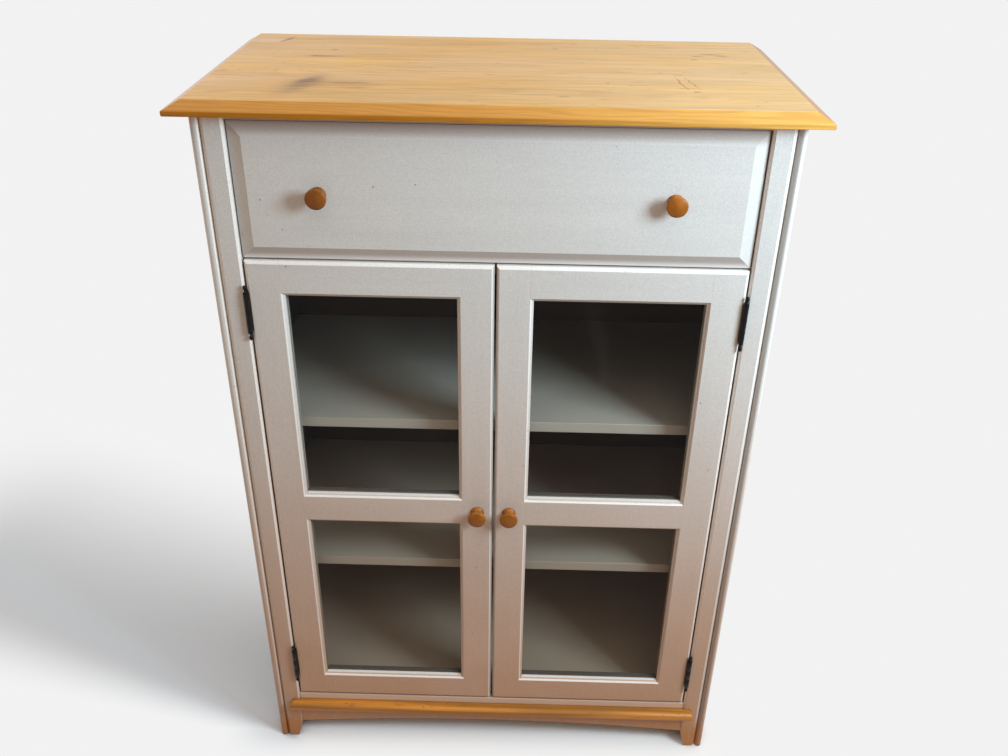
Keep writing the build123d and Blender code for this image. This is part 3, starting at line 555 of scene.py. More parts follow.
# knots, scratches and scuffs of the top: centre and half size in metres, angle in
# degrees, depth and colour
KNOTS = (
    ((-0.378, 0.172), (0.0480, 0.0320), 0.0, 0.55, "EAD4B0"),
    ((-0.350, 0.180), (0.0300, 0.0060), 68.0, 0.75, "6A4527"),
    ((-0.261, 0.107), (0.0090, 0.0050), 30.0, 0.60, "7A5030"),
    ((0.258, -0.068), (0.0540, 0.0070), 98.0, 0.55, "F0B868"),
    ((0.251, -0.070), (0.0540, 0.0018), 98.0, 0.75, "9A5A2A"),
    ((0.266, -0.067), (0.0500, 0.0018), 98.0, 0.65, "9A5A2A"),
    ((0.252, -0.020), (0.0090, 0.0030), -20.0, 0.60, "7B4E2C"),
    ((0.265, -0.118), (0.0080, 0.0040), 20.0, 0.65, "8A5030"),
    ((0.323, 0.124), (0.0280, 0.0050), -8.0, 0.70, "8B4A26"),
    ((0.300, 0.108), (0.0160, 0.0040), 12.0, 0.65, "8B4A26"),
    ((0.338, 0.112), (0.0120, 0.0040), 0.0, 0.60, "8B4A26"),
    ((0.292, 0.085), (0.0080, 0.0060), 20.0, 0.60, "8B4A26"),
    ((0.081, 0.147), (0.0120, 0.0035), 30.0, 0.55, "8B5A32"),
    ((0.112, 0.188), (0.0100, 0.0030), 10.0, 0.60, "8B5A32"),
    ((0.149, -0.077), (0.0030, 0.0040), 0.0, 0.70, "5F3D23"),
    ((0.138, -0.166), (0.0120, 0.0040), 0.0, 0.45, "8B5A32"),
)
# the dark smudge with its heart and tails, and the crack with its halo
SMUDGES = (
    ((-0.268, -0.118), (0.1000, 0.0420), 72.0, 0.36, "94602C"),
    ((-0.264, -0.110), (0.0750, 0.0240), 72.0, 0.46, "5C3A1C"),
    ((-0.262, -0.092), (0.0340, 0.0150), 60.0, 0.46, "452A14"),
    ((-0.222, -0.104), (0.0900, 0.0300), 4.0, 0.30, "8A5828"),
    ((-0.205, -0.104), (0.0500, 0.0070), 4.0, 0.55, "7E4E22"),
    ((-0.190, -0.128), (0.0340, 0.0060), 3.0, 0.50, "7E4E22"),
    ((-0.270, 0.060), (0.0700, 0.0120), 3.0, 0.40, "9B6B3C"),
    ((-0.270, 0.061), (0.0300, 0.0045), 3.0, 0.95, "33200F"),
)
TOP_LEVEL = TOP[1][2]
BEVEL_STARTS = TOP_LEVEL - 0.1 * MM
BEVEL_BELOW = TOP_LEVEL - 0.8 * MM
# the square edge under the bevel
NOSE = (TOP[0][2] + 9 * MM, TOP[0][2] + 6 * MM)
# spacing of the top's ring lines, and the width of its boards
RING_SPACING = 9 * MM
BOARD_WIDTH = 112 * MM


def top_edges(tree, place, rings, window_lit):
    """Colour of the top's bevels and square edges, before the grain is added."""
    normal = add_node(tree, "ShaderNodeTexCoord", output="Normal")
    nose = fade(tree, place, 2, NOSE, (0.0, 0.9))
    underside = fade(tree, normal, 2, (-0.2, -0.6))
    # painted shade: the square edge under the bevel is darker, and more orange on its underside
    edge = stain(tree, colours().pine_edge[:], linear("B0721C"), nose)
    edge = stain(tree, edge, linear("EA9A10"), nose, underside)
    # painted light: the bevel is paler towards the right end, where the window light falls
    edge = stain(tree, edge, linear("EAB65E"), window_lit, 0.9)
    # the bevel at the right end is painted dark, in place of the shade and dark reflection it shows
    right_end = fade(tree, normal, 0, (0.2, 0.4), (0.0, 0.7))
    edge = stain(tree, edge, linear("8F5A26"), right_end)
    return stain(tree, edge, linear("A8661E"), rings, 0.22)


def marked_top(tree, colour, place):
    """The colour with the top's smudges, knots and scratches, their edges frayed."""
    ragged = add_node(
        tree, "ShaderNodeTexNoise", {"Vector": place, "Scale": 60.0, "Detail": 3.0}, "Color"
    )
    # the noise has a mean of 0.5, so half of its reach is taken off again
    reach = 12 * MM
    frayed = add_node(
        tree,
        "ShaderNodeVectorMath",
        {0: ragged, 1: (reach, reach, 0.0), 2: place},
        operation="MULTIPLY_ADD",
    )
    frayed = add_node(
        tree,
        "ShaderNodeVectorMath",
        {0: frayed, 1: (-reach / 2, -reach / 2, 0.0)},
        operation="ADD",
    )
    streaky = grain(tree, place, (14.0, 140.0, 140.0), (0.25, 0.60), (0.5, 1.0), 3.0)
    for centre, half_size, angle, depth, code in SMUDGES + KNOTS:
        soft = 0.9 if depth < 0.6 else 0.7
        spot = mark(tree, frayed, centre, half_size, angle, soft)
        colour = stain(tree, colour, linear(code), spot, streaky, depth)
    return colour


def lacquered_pine():
    """Flat-sawn pine under clear nitrocellulose lacquer.

    It gives honey-coloured boards with soft ring lines, a paler worn field, and
    a deeper colour on the bevels, where the lacquer has not been rubbed. Its right
    end is painted paler, as lit by the window, and its square edge darker, as shade.
    """
    material, tree, place = new_material("lacquered_pine")
    hue = colours()
    rings, chance = growth_rings(tree, place, RING_SPACING, BOARD_WIDTH)
    fibres = grain(tree, place, (22.0, 900.0, 900.0), (0.25, 0.75), (0.86, 1.05), 3.0)
    streaks = grain(tree, place, (3.0, 70.0, 70.0), (0.25, 0.75), (0.10, 0.50), 3.0)
    # fibre bundles are 2 mm apart; drawn at 8 mm so that they show
    bundles = grain(tree, place, (7.0, 125.0, 125.0), (0.35, 0.70), (1.05, 0.88), 4.0)
    flecks = grain(tree, place, (30.0, 190.0, 190.0), (0.64, 0.74), (0.0, 0.55), 3.0)
    bleached = grain(tree, place, (2.2, 7.0, 7.0), (0.42, 0.66), (0.0, 0.7), 3.0, 0.4)
    golden = grain(tree, place, (1.6, 26.0, 26.0), (0.50, 0.70), (0.0, 0.6), 3.0)
    ripple = grain(tree, place, (60.0, 120.0, 60.0), (0.0, 1.0))
    board_shade = add_node(
        tree, "ShaderNodeMath", {0: chance, 1: 0.09, 2: 0.94}, operation="MULTIPLY_ADD"
    )

    colour = stain(tree, hue.pine[:], hue.pine_ring[:], rings, streaks)
    colour = shade(tree, colour, fibres, board_shade)
    colour = stain(tree, colour, linear("F2C878"), golden)
    colour = stain(tree, colour, hue.pine_worn[:], bleached)
    # painted light: the top is paler towards the right end, where the window light falls
    window_lit = fade(tree, place, 0, (-0.1, 0.42))
    colour = stain(tree, colour, linear("F8DDA8"), window_lit, 0.4)
    colour = shade(tree, colour, bundles)
    colour = stain(tree, colour, linear("A86C3A"), flecks)

    bevel = fade(tree, place, 2, (BEVEL_STARTS, BEVEL_BELOW))
    edge = top_edges(tree, place, rings, window_lit)
    colour = stain(tree, colour, shade(tree, edge, fibres), bevel)
    colour = marked_top(tree, colour, place)

    field = fade(tree, place, 2, (BEVEL_BELOW, BEVEL_STARTS))
    # dents are about 2 mm wide; drawn at 4 mm, with soft rims, so that they show
    dents = specks(tree, place, 60.0, 2.2 * MM, 0.35)
    pitted = grain(tree, place, (7.0, 12.0, 12.0), (0.50, 0.62))
    chips = specks(tree, place, 55.0, 0.9 * MM, 0.12)
    colour = stain(tree, colour, linear("8A5030"), dents, pitted, field, 0.8)
    colour = stain(tree, colour, linear("F0D9A8"), chips, field, 0.6)

    worn_sheen = grain(tree, place, (4.0, 9.0, 9.0), (0.3, 0.7), (0.36, 0.48), 3.0, 0.4)
    sheen = add_node(
        tree, "ShaderNodeMix", {0: bevel, 2: worn_sheen, 3: 0.30}, data_type="FLOAT"
    )
    raised = together(tree, (ripple, fibres), "ADD")
    relief = together(tree, (raised, dents), "SUBTRACT")
    # the lacquer is thin and matt under the edge
    lacquer = fade(tree, place, 2, (NOSE[1], NOSE[0]), (0.15, 0.3))
    finish(tree, colour, sheen, relief, 0.10 * MM, Specular_IOR_Level=lacquer)
    return material


def amber_lacquered_pine():
    """Pine moulding under deep amber lacquer.

    It gives a warm orange-brown with long grain, dirt and painted shade in its
    corners and worn darker spots along the crest.
    """
    material, tree, place = new_material("amber_lacquered_pine")
    hue = colours()
    fibres = grain(tree, place, (14.0, 420.0, 420.0), (0.25, 0.75), (0.90, 1.04), 3.0)
    streaks = grain(tree, place, (3.0, 90.0, 90.0), (0.3, 0.7), detail=3.0)
    colour = stain(tree, hue.moulding[:], linear("98621D"), streaks)
    colour = shade(tree, colour, fibres)
    wear = grain(tree, place, (30.0, 60.0, 60.0), (0.58, 0.70), (0.0, 0.45), 4.0)
    colour = stain(tree, colour, linear("7E5228"), wear)
    # dirt and painted shade in the corners
    colour = stain(tree, colour, linear("4E3218"), grime_and_shade(tree, 6 * MM, 0.84, 0.85))
    # dents are about 2 mm wide; drawn at 4 mm, with soft rims, so that they show
    dents = specks(tree, place, 75.0, 2.0 * MM, 0.35)
    colour = stain(tree, colour, linear("5E3A16"), dents, 0.7)
    rough = add_node(
        tree, "ShaderNodeMath", {0: streaks, 1: 0.14, 2: 0.40}, operation="MULTIPLY_ADD"
    )
    finish(tree, colour, rough, fibres, 0.08 * MM)
    return material


def stained_knob_wood():
    """Turned softwood, stained and lacquered.

    It gives a glossy orange-brown with grain along the axis, fine turning lines
    round it and darker pores.
    """
    material, tree, place = new_material("stained_turned_wood")
    hue = colours()
    fibres = grain(tree, place, (420.0, 60.0, 420.0), (0.35, 0.7), (0.0, 0.6), 3.0)
    cloud = grain(tree, place, (90.0, 30.0, 90.0), (0.3, 0.7), (0.85, 1.10))
    colour = stain(tree, hue.knob[:], linear("84480E"), fibres)
    # the face of the head is darker
    rim_front = FACE - 0.84 * KNOB_PROJECTION
    face = fade(tree, place, 1, (rim_front, rim_front - 1.5 * MM), (0.0, 0.75))
    colour = stain(tree, colour, hue.knob_face[:], face)
    # painted shade on faces that look down, under the head and round the neck, and dirt and painted
    # shade in the cove
    normal = add_node(tree, "ShaderNodeTexCoord", output="Normal")
    under = fade(tree, normal, 2, (-0.15, -0.75), (0.0, 0.75))
    colour = stain(tree, colour, linear("3A1E0A"), under)
    colour = stain(tree, colour, linear("4A240C"), grime_and_shade(tree, 6 * MM, 0.8, 0.7))
    # the knobs are darker towards the left, and the lower knobs darker still
    darker_left = fade(tree, place, 0, (-0.24, -0.05), (0.66, 1.0))
    darkened = fade(tree, place, 2, (0.6, 0.9), (0.82, 1.0))
    colour = shade(tree, colour, darker_left, darkened)
    colour = shade(tree, colour, cloud)
    pores = specks(tree, place, 320.0, 0.5 * MM, 0.12)
    colour = stain(tree, colour, linear("5E3216"), pores, 0.25)
    rough = add_node(
        tree, "ShaderNodeMath", {0: cloud, 1: 0.5, 2: -0.07}, operation="MULTIPLY_ADD"
    )
    # turning lines are about 0.3 mm apart; drawn at 0.8 mm so that they show
    depth = add_node(tree, "ShaderNodeSeparateXYZ", {0: place}, 1)
    turns = together(tree, (depth, 2 * math.pi / (0.8 * MM)))
    lines = add_node(tree, "ShaderNodeMath", {0: turns}, operation="SINE")
    relief = add_node(
        tree, "ShaderNodeMath", {0: fibres, 1: 2.0, 2: lines}, operation="MULTIPLY_ADD"
    )
    finish(tree, colour, rough, relief, 0.02 * MM, Specular_IOR_Level=0.3)
    return material


def bare_pine(direction):
    """Planed pine left bare.

    It gives a dry, pale wood with ring lines, small knots and no gloss.
    """
    material, tree, place = new_material(f"bare_pine_grain_{direction}")
    hue = colours()
    fibres = grain(tree, place, FIBRES[direction], (0.25, 0.75), (0.88, 1.03), 3.0)
    lines = grain(tree, place, RINGS[direction], (0.42, 0.62), (0.0, 0.5), 2.0, 0.6)
    colour = stain(tree, hue.bare_pine[:], linear("A97E4C"), lines)
    colour = shade(tree, colour, fibres)
    knots = specks(tree, place, 9.0, 9 * MM, 0.10)
    colour = stain(tree, colour, linear("7A4C28"), knots, 0.7)
    finish(tree, colour, 0.68, fibres, 0.08 * MM)
    return material


def white_melamine_board():
    """Chipboard faced with white melamine.

    It gives a flat, slightly warm white with a low sheen, faint rub marks, painted
    shade towards the back and a warmer tone on the lower boards.
    """
    material, tree, place = new_material("white_melamine_board")
    hue = colours()
    cloud = grain(tree, place, (7.0, 12.0, 7.0), (0.3, 0.7), detail=3.0)
    fine = grain(tree, place, (500.0, 500.0, 500.0), (0.3, 0.7), (0.98, 1.0))
    # painted shade: darker towards the back, where less light reaches
    dust_and_shade = fade(tree, place, 1, (-0.17, 0.16), (0.0, 0.65))
    colour = stain(tree, hue.board[:], linear("86786A"), dust_and_shade)
    # warmer towards the bottom
    yellowed = fade(tree, place, 2, (0.65, 0.25), (0.0, 0.6))
    colour = stain(tree, colour, linear("C9A684"), yellowed)
    rubbed = add_node(
        tree, "ShaderNodeMath", {0: cloud, 1: 0.07, 2: 0.93}, operation="MULTIPLY_ADD"
    )
    colour = shade(tree, colour, rubbed, fine)
    spots = specks(tree, place, 25.0, 1.2 * MM, 0.08)
    colour = stain(tree, colour, linear("7F7468"), spots, 0.4)
    rough = add_node(
        tree, "ShaderNodeMath", {0: cloud, 1: 0.14, 2: 0.35}, operation="MULTIPLY_ADD"
    )
    finish(tree, colour, rough, fine, 0.02 * MM)
    return material


def hardboard():
    """Wet-pressed hardboard, smooth side out.

    It gives a dark brown sheet with fine felted fibres and a dull sheen.
    """
    material, tree, place = new_material("hardboard")
    hue = colours()
    felt = grain(tree, place, (700.0, 700.0, 700.0), (0.3, 0.7), (0.75, 1.2), 4.0, 0.8)
    cloud = grain(tree, place, (10.0, 10.0, 10.0), (0.3, 0.7), (0.88, 1.08), 3.0)
    colour = shade(tree, hue.hardboard[:], felt, cloud)
    rough = add_node(
        tree, "ShaderNodeMath", {0: felt, 1: 0.4, 2: 0.18}, operation="MULTIPLY_ADD"
    )
    finish(tree, colour, rough, felt, 0.05 * MM)
    return material


def clear_float_glass():
    """Clear soda-lime float glass, 3 mm thick.

    It gives a clear view inside with a sharp reflection at a shallow angle, and
    a faint haze of wiped dust.
    """
    material, tree, place = new_material("clear_float_glass")
    clear = add_node(tree, "ShaderNodeBsdfTransparent", {"Color": (0.86, 0.87, 0.865, 1.0)})
    gloss = add_node(
        tree, "ShaderNodeBsdfGlossy", {"Color": (0.20, 0.20, 0.20, 1.0), "Roughness": 0.02}
    )
    dust_and_shade = add_node(tree, "ShaderNodeBsdfDiffuse", {"Color": linear("B9B6B0")})
    mirror = add_node(tree, "ShaderNodeFresnel", {"IOR": 1.52})
    inner_side = add_node(tree, "ShaderNodeNewGeometry", output="Backfacing")
    outer_side = together(tree, (1.0, inner_side), "SUBTRACT")
    share = together(tree, (mirror, outer_side))
    pane = add_node(tree, "ShaderNodeMixShader", {0: share, 1: clear, 2: gloss})
    haze = grain(tree, place, (14.0, 14.0, 5.0), (0.5, 0.8), (0.0, 0.010), 4.0, 1.2)
    dusty = add_node(tree, "ShaderNodeMixShader", {0: haze, 1: pane, 2: dust_and_shade})
    add_node(tree, "ShaderNodeOutputMaterial", {"Surface": dusty})
    return material


def bronze_lacquered_steel():
    """Rolled steel with a dark bronze lacquer.

    It gives a near-black brown with a bright line of gloss along the barrels and
    brown rub marks.
    """
    material, tree, place = new_material("bronze_lacquered_steel")
    hue = colours()
    fine = grain(tree, place, (900.0, 900.0, 300.0), (0.2, 0.8), (0.20, 0.34), 3.0)
    rub = grain(tree, place, (160.0, 160.0, 90.0), (0.64, 0.80), (0.0, 0.3), 4.0)
    colour = stain(tree, hue.bronze[:], linear("54402F"), rub)
    finish(tree, colour, fine, fine, 0.02 * MM, Metallic=0.5, Specular_IOR_Level=0.25)
    return material


def moulded_polypropylene():
    """Injection-moulded polypropylene.

    It gives an even off-white with a fine moulded texture and a soft sheen.
    """
    material, tree, place = new_material("moulded_polypropylene")
    hue = colours()
    texture = grain(tree, place, (1500.0, 1500.0, 1500.0), (0.2, 0.8), (0.42, 0.55))
    cloud = grain(tree, place, (60.0, 60.0, 60.0), (0.3, 0.7), (0.95, 1.0))
    finish(tree, shade(tree, hue.plastic[:], cloud), texture, texture, 0.02 * MM, IOR=1.49)
    return material


# the window's light casts the cupboard's shadow to the left and back, from its front
# left foot: place of that foot, and direction of the shadow's front edge
SHADOW_FOOT = (-0.41, -0.20, 0.0)
SHADOW_ANGLE = math.radians(-19.3)
# place past the foot where the shadow's edge would be sharp
SHARP_AT = 0.13
# the plain backdrop's brightness, which shows as light grey
BACKDROP_GLOW = 0.888


def floor_shadow(tree, place):
    """The shadow's reach over the floor, its paler front edge, and where it lies."""
    slanted = add_node(
        tree,
        "ShaderNodeMapping",
        {"Vector": place, "Location": SHADOW_FOOT, "Rotation": (0.0, 0.0, SHADOW_ANGLE)},
        vector_type="TEXTURE",
    )
    # the front edge grows softer with the distance from the foot
    along = add_node(tree, "ShaderNodeSeparateXYZ", {0: slanted}, output=0)
    across = add_node(tree, "ShaderNodeSeparateXYZ", {0: slanted}, output=1)
    softness = together(tree, (SHARP_AT, along), "SUBTRACT")
    turned = together(tree, (across, softness), "DIVIDE")
    lit = add_node(
        tree,
        "ShaderNodeMapRange",
        {0: turned, 1: -0.14, 2: 0.10},
        interpolation_type="SMOOTHSTEP",
    )
    edge = add_node(
        tree,
        "ShaderNodeMapRange",
        {0: turned, 1: 0.22, 2: 0.0},
        interpolation_type="SMOOTHSTEP",
    )
    beside = fade(tree, slanted, 0, (0.09, 0.02))
    far = fade(tree, slanted, 0, (-1.36, -0.86))
    rear = fade(tree, slanted, 1, (0.72, 0.12))
    return together(tree, (lit, beside, far, rear)), edge, beside


def matt_studio_floor():
    """Matt painted board that the cupboard stands on.

    It gives a soft shadow round the cupboard; beyond that it is plain backdrop.
    """
    material, tree, place = new_material("matt_studio_floor")
    shows = seen(tree)
    cast, edge, beside = floor_shadow(tree, place)
    below = (
        fade(tree, place, 0, (-0.52, -0.40)),
        fade(tree, place, 0, (0.44, 0.385)),
        fade(tree, place, 1, (-0.262, -0.167)),
        fade(tree, place, 1, (0.34, 0.26)),
    )
    behind = mark(tree, place, (-0.15, 0.40), (0.50, 0.36), 0.0, 0.8)
    shaded = together(tree, (cast, together(tree, below), behind), "MAXIMUM")
    backdrop = stain(tree, WHITE, BLACK, shaded)
    backdrop = stain(tree, BLACK, backdrop, shows)

    front = fade(tree, place, 1, (-0.05, -0.15))
    right = fade(tree, place, 0, (-0.42, -0.34))
    pale = stain(tree, colours().floor[:], linear("FEFDFD"), front, right)
    pale = stain(tree, pale, linear("D7E0E9"), edge, beside)
    # painted contact shadow on the floor round the cupboard's base
    pale = stain(tree, pale, BLACK, grime_and_shade(tree, 75 * MM, 0.75, 0.7))
    pale = stain(tree, BLACK, pale, shaded)
    # warm light comes up as from a room's brown boards, while the floor shows pale
    colour = stain(tree, linear("A58468"), pale, shows)
    fine = grain(tree, place, (80.0, 80.0, 80.0), (0.3, 0.7), (0.99, 1.0))
    finish(
        tree,
        shade(tree, colour, fine),
        0.9,
        fine,
        0.02 * MM,
        Specular_IOR_Level=0.0,
        Emission_Color=backdrop,
        Emission_Strength=BACKDROP_GLOW,
    )
    return material


# ------------------------------------------------------------------ mesh pieces
# triangles of one flat face are welded within this distance and joined within this
# angle before the arrises, which turn by more than the second angle, are softened
WELD_DISTANCE = 0.002 * MM
FLAT_ANGLE = math.radians(0.5)
ARRIS_ANGLE = math.radians(28)


def give(node, material, arris):
    """Finishes a CAD node: its material, and edges softened by this much."""
    part = NODES[node]
    for place in part.material_slots:
        place.material = material
    if arris:
        weld = part.modifiers.new("weld", "WELD")
        weld.merge_threshold = WELD_DISTANCE
        flatten = part.modifiers.new("flatten", "DECIMATE")
        flatten.decimate_type = "DISSOLVE"
        flatten.angle_limit = FLAT_ANGLE
        soften = part.modifiers.new("arris", "BEVEL")
        soften.width = arris
        soften.segments = 2
        soften.limit_method = "ANGLE"
        soften.angle_limit = ARRIS_ANGLE
        soften.harden_normals = True
        soften.use_clamp_overlap = True


def zinc_plate():
    """The CAD's own plain grey finish, which the small fastenings keep."""
    return bpy.data.materials["zinc_plated_steel"]


def new_piece(name, mesh, material, body, replaced=()):
    """Links a finished mesh to the scene as a piece that rides on a body."""
    piece = bpy.data.objects.new(name, mesh)
    bpy.context.scene.collection.objects.link(piece)
    mesh.materials.append(material)
    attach(piece, body)
    if replaced:
        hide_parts(*replaced)


def rounded(points, rounds=2):
    """Cuts the corners of a profile again and again, and keeps its ends."""
    for _ in range(rounds):
        smoother = [points[0]]
        for first, second in zip(points, points[1:]):
            for share in (0.25, 0.75):
                smoother.append(tuple(a + (b - a) * share for a, b in zip(first, second)))
        smoother.append(points[-1])
        points = smoother
    return points


def lathe(build, profile, steps, seat):
    """Turns a profile of (radius, distance) pairs about the seat's Z axis."""
    on_axis = 1e-7
    rings = []
    for radius, along in profile:
        if radius < on_axis:
            rings.append([build.verts.new(seat @ Vector((0.0, 0.0, along)))])
            continue
        ring = []
        for step in range(steps):
            angle = 2 * math.pi * step / steps
            spot = Vector((radius * math.cos(angle), radius * math.sin(angle), along))
            ring.append(build.verts.new(seat @ spot))
        rings.append(ring)
    for low, high in zip(rings, rings[1:]):
        for step in range(steps):
            after = (step + 1) % steps
            corners = [low[step % len(low)], low[after % len(low)]]
            corners += [high[after % len(high)], high[step % len(high)]]
            corners = list(dict.fromkeys(corners))
            if len(corners) > 2:
                build.faces.new(corners).smooth = True


def finished_mesh(name, build):
    """Turns a bmesh into a mesh with its faces outward."""
    bmesh.ops.recalc_face_normals(build, faces=build.faces)
    mesh = bpy.data.meshes.new(name)
    build.to_mesh(mesh)
    build.free()
    return mesh


def facing(place, direction):
    """Matrix whose Z axis points along a direction at a place."""
    turn = Vector(direction).to_track_quat("Z", "Y").to_matrix().to_4x4()
    return Matrix.Translation(place) @ turn


def add_copy(build, mesh, seat):
    """Adds a copy of a mesh to a bmesh, moved to its seat."""
    first = len(build.verts)
    build.from_mesh(mesh)
    build.verts.ensure_lookup_table()
    bmesh.ops.transform(build, matrix=seat, verts=build.verts[first:])


# radius and distance as shares of the knob's radius and projection; close pairs
# of points keep an arris crisp when the corners are cut
KNOB_CURVE = (
    (0.000, 0.000), (0.745, 0.000), (0.763, 0.010), (0.763, 0.072), (0.745, 0.088),
    (0.600, 0.190), (0.500, 0.330), (0.500, 0.460), (0.600, 0.590), (0.900, 0.675),
    (0.985, 0.700), (0.998, 0.725), (1.000, 0.790), (0.990, 0.835), (0.930, 0.875),
    (0.840, 0.900), (0.815, 0.905), (0.500, 0.962), (0.200, 0.995), (0.000, 1.000),
)


def knob_mesh(name, places):
    """Turned knobs with a thin base, a coved neck and a domed head."""
    chosen = sizes()
    profile = [
        (min(radius * chosen.knob_radius, KNOB_RADIUS), along * chosen.knob_projection)
        for radius, along in rounded(KNOB_CURVE)
    ]
    build = bmesh.new()
    for place in places:
        lathe(build, profile, 64, facing(place, (0, -1, 0)))
    return finished_mesh(name, build)


# radius in mm, and distance from the knuckles as a share of the tip's length
TIP_CURVE = (
    (0.0, -0.08), (2.0, -0.08), (2.0, 0.0), (2.9, 0.0), (2.9, 0.10), (2.2, 0.14),
    (1.6, 0.22), (1.6, 0.30), (2.3, 0.38), (2.7, 0.52), (2.75, 0.70), (2.5, 0.84),
    (1.5, 0.96), (0.0, 1.0),
)


def add_pin(build, centre):
    """Hinge pin: a plain shaft with a turned finial at each end."""
    radius, half = 2 * MM, HINGE_LENGTH / 2
    shaft = [(0.0, -half), (radius, -half), (radius, half), (0.0, half)]
    lathe(build, shaft, 24, facing(centre, (0, 0, 1)))
    tip = [(width * MM, along * TIP_LENGTH) for width, along in rounded(TIP_CURVE, 1)]
    for way in (-1, 1):
        end = centre + Vector((0, 0, way * half))
        lathe(build, tip, 32, facing(end, (0, 0, way)))


# radius and distance of the two kinds of screw head, as shares of their own
FLAT_HEAD = ((0.0, -1.0), (0.5, -1.0), (1.0, 0.0), (0.0, 0.04))
PAN_HEAD = ((0.0, 0.0), (1.0, 0.0), (1.0, 0.35), (0.86, 0.75), (0.5, 0.96), (0.0, 1.0))
# length and width of a recess's arm and its depth, as shares of the radius and height
RECESS = (1.15, 0.26, 1.1)


def cross_recess_head(name, radius, height, flat):
    """Screw head with a cross recess, lying on its seat and facing +Z."""
    curve = FLAT_HEAD if flat else PAN_HEAD
    build = bmesh.new()
    profile = [(radius * wide, height * along) for wide, along in curve]
    lathe(build, profile, 32, Matrix.Identity(4))
    head = bpy.data.objects.new(name, finished_mesh(name, build))
    build = bmesh.new()
    level = Matrix.Translation((0, 0, 0.0 if flat else height))
    arm_size = (radius * RECESS[0], radius * RECESS[1], height * RECESS[2], 1.0)
    for angle in (0.0, math.pi / 2):
        arm = bmesh.ops.create_cube(build, size=1.0)["verts"]
        turn = Matrix.Rotation(angle, 4, "Z")
        shape = level @ turn @ Matrix.Diagonal(arm_size)
        bmesh.ops.transform(build, matrix=shape, verts=arm)
    cutter = bpy.data.objects.new(f"{name}_cutter", finished_mesh(f"{name}_cutter", build))
    for made in (head, cutter):
        bpy.context.scene.collection.objects.link(made)
    cut = head.modifiers.new("recess", "BOOLEAN")
    cut.object = cutter
    cut.operation = "DIFFERENCE"
    cut.solver = "EXACT"
    cut.use_self = True  # the cutter's two arms cross each other
    view = bpy.context.evaluated_depsgraph_get()
    mesh = bpy.data.meshes.new_from_object(head.evaluated_get(view))
    for made in (head, cutter):
        bpy.data.objects.remove(made)
    return mesh


def scattered(name, mesh, seats):
    """One mesh with a copy of a small piece at each seat."""
    build = bmesh.new()
    for seat in seats:
        add_copy(build, mesh, seat)
    return finished_mesh(name, build)


def rounded_plate(build, low, high, corner):
    """Thin plate in the XZ plane with rounded corners, between two Y values."""
    left, right = low[0] + corner, high[0] - corner
    bottom, top = low[2] + corner, high[2] - corner
    steps = 6
    outline = []
    for quarter, (x, z) in enumerate(((right, top), (left, top), (left, bottom), (right, bottom))):
        for step in range(steps + 1):
            angle = math.radians(90 * quarter + 90 / steps * step)
            outline.append((x + corner * math.cos(angle), z + corner * math.sin(angle)))
    rings = [[build.verts.new((x, y, z)) for x, z in outline] for y in (low[1], high[1])]
    build.faces.new(rings[0])
    build.faces.new(list(reversed(rings[1])))
    count = len(outline)
    for index in range(count):
        after = (index + 1) % count
        build.faces.new((rings[0][index], rings[1][index], rings[1][after], rings[0][after]))


# radius and height of a panel pin's domed head
PIN_DOME = (
    (0.0, 0.0),
    (1.6 * MM, 0.0),
    (1.5 * MM, 0.25 * MM),
    (0.9 * MM, 0.5 * MM),
    (0.0, 0.6 * MM),
)


# ------------------------------------------------------------------- operators
class CUPBOARD_OT_top_board(bpy.types.Operator):
    """Finish the lacquered top board"""

    bl_idname = "cupboard.top_board"
    bl_label = "Top Board"

    def execute(self, context):
        give("top_board", lacquered_pine(), sizes().top_arris)
        return {"FINISHED"}


class CUPBOARD_OT_base_moulding(bpy.types.Operator):
    """Finish the lacquered moulding below the doors"""

    bl_idname = "cupboard.base_moulding"
    bl_label = "Base Moulding"

    def execute(self, context):
        give("base_moulding", amber_lacquered_pine(), sizes().paint_arris)
        return {"FINISHED"}


class CUPBOARD_OT_painted_wood(bpy.types.Operator):
    """Paint the side frames, front stiles, rails, doors and drawer front"""

    bl_idname = "cupboard.painted_wood"
    bl_label = "Painted Wood"

    def execute(self, context):
        upright = satin_paint_on_pine("z")
        level = satin_paint_on_pine("x")
        for node, part in NODES.items():
            if part.material_slots[0].name != "painted_pine":
                continue
            across = "rail" in node or "bead" in node or node == "drawer_front"
            give(node, level if across else upright, sizes().paint_arris)
        return {"FINISHED"}


class CUPBOARD_OT_shelves(bpy.types.Operator):
    """Face the shelves and the bottom with white board"""

    bl_idname = "cupboard.shelves"
    bl_label = "Shelves and Bottom"

    def execute(self, context):
        face = white_melamine_board()
        for node in ("bottom_board", "lower_shelf", "upper_shelf"):
            give(node, face, sizes().board_arris)
        return {"FINISHED"}


class CUPBOARD_OT_bare_wood(bpy.types.Operator):
    """Finish the drawer box, runners, kickers, battens and hidden rails"""

    bl_idname = "cupboard.bare_wood"
    bl_label = "Bare Wood"

    def execute(self, context):
        along_x, along_y = bare_pine("x"), bare_pine("y")
        for node in ("drawer_back", "divider_rail", "rear_top_rail", "rear_bottom_rail"):
            give(node, along_x, sizes().board_arris)
        for node in ("drawer_kickers", "shelf_battens"):
            give(node, along_y, sizes().board_arris)
        for side in SIDES:
            for node in (f"drawer_side_{side}", f"drawer_runner_{side}"):
                give(node, along_y, sizes().board_arris)
        return {"FINISHED"}


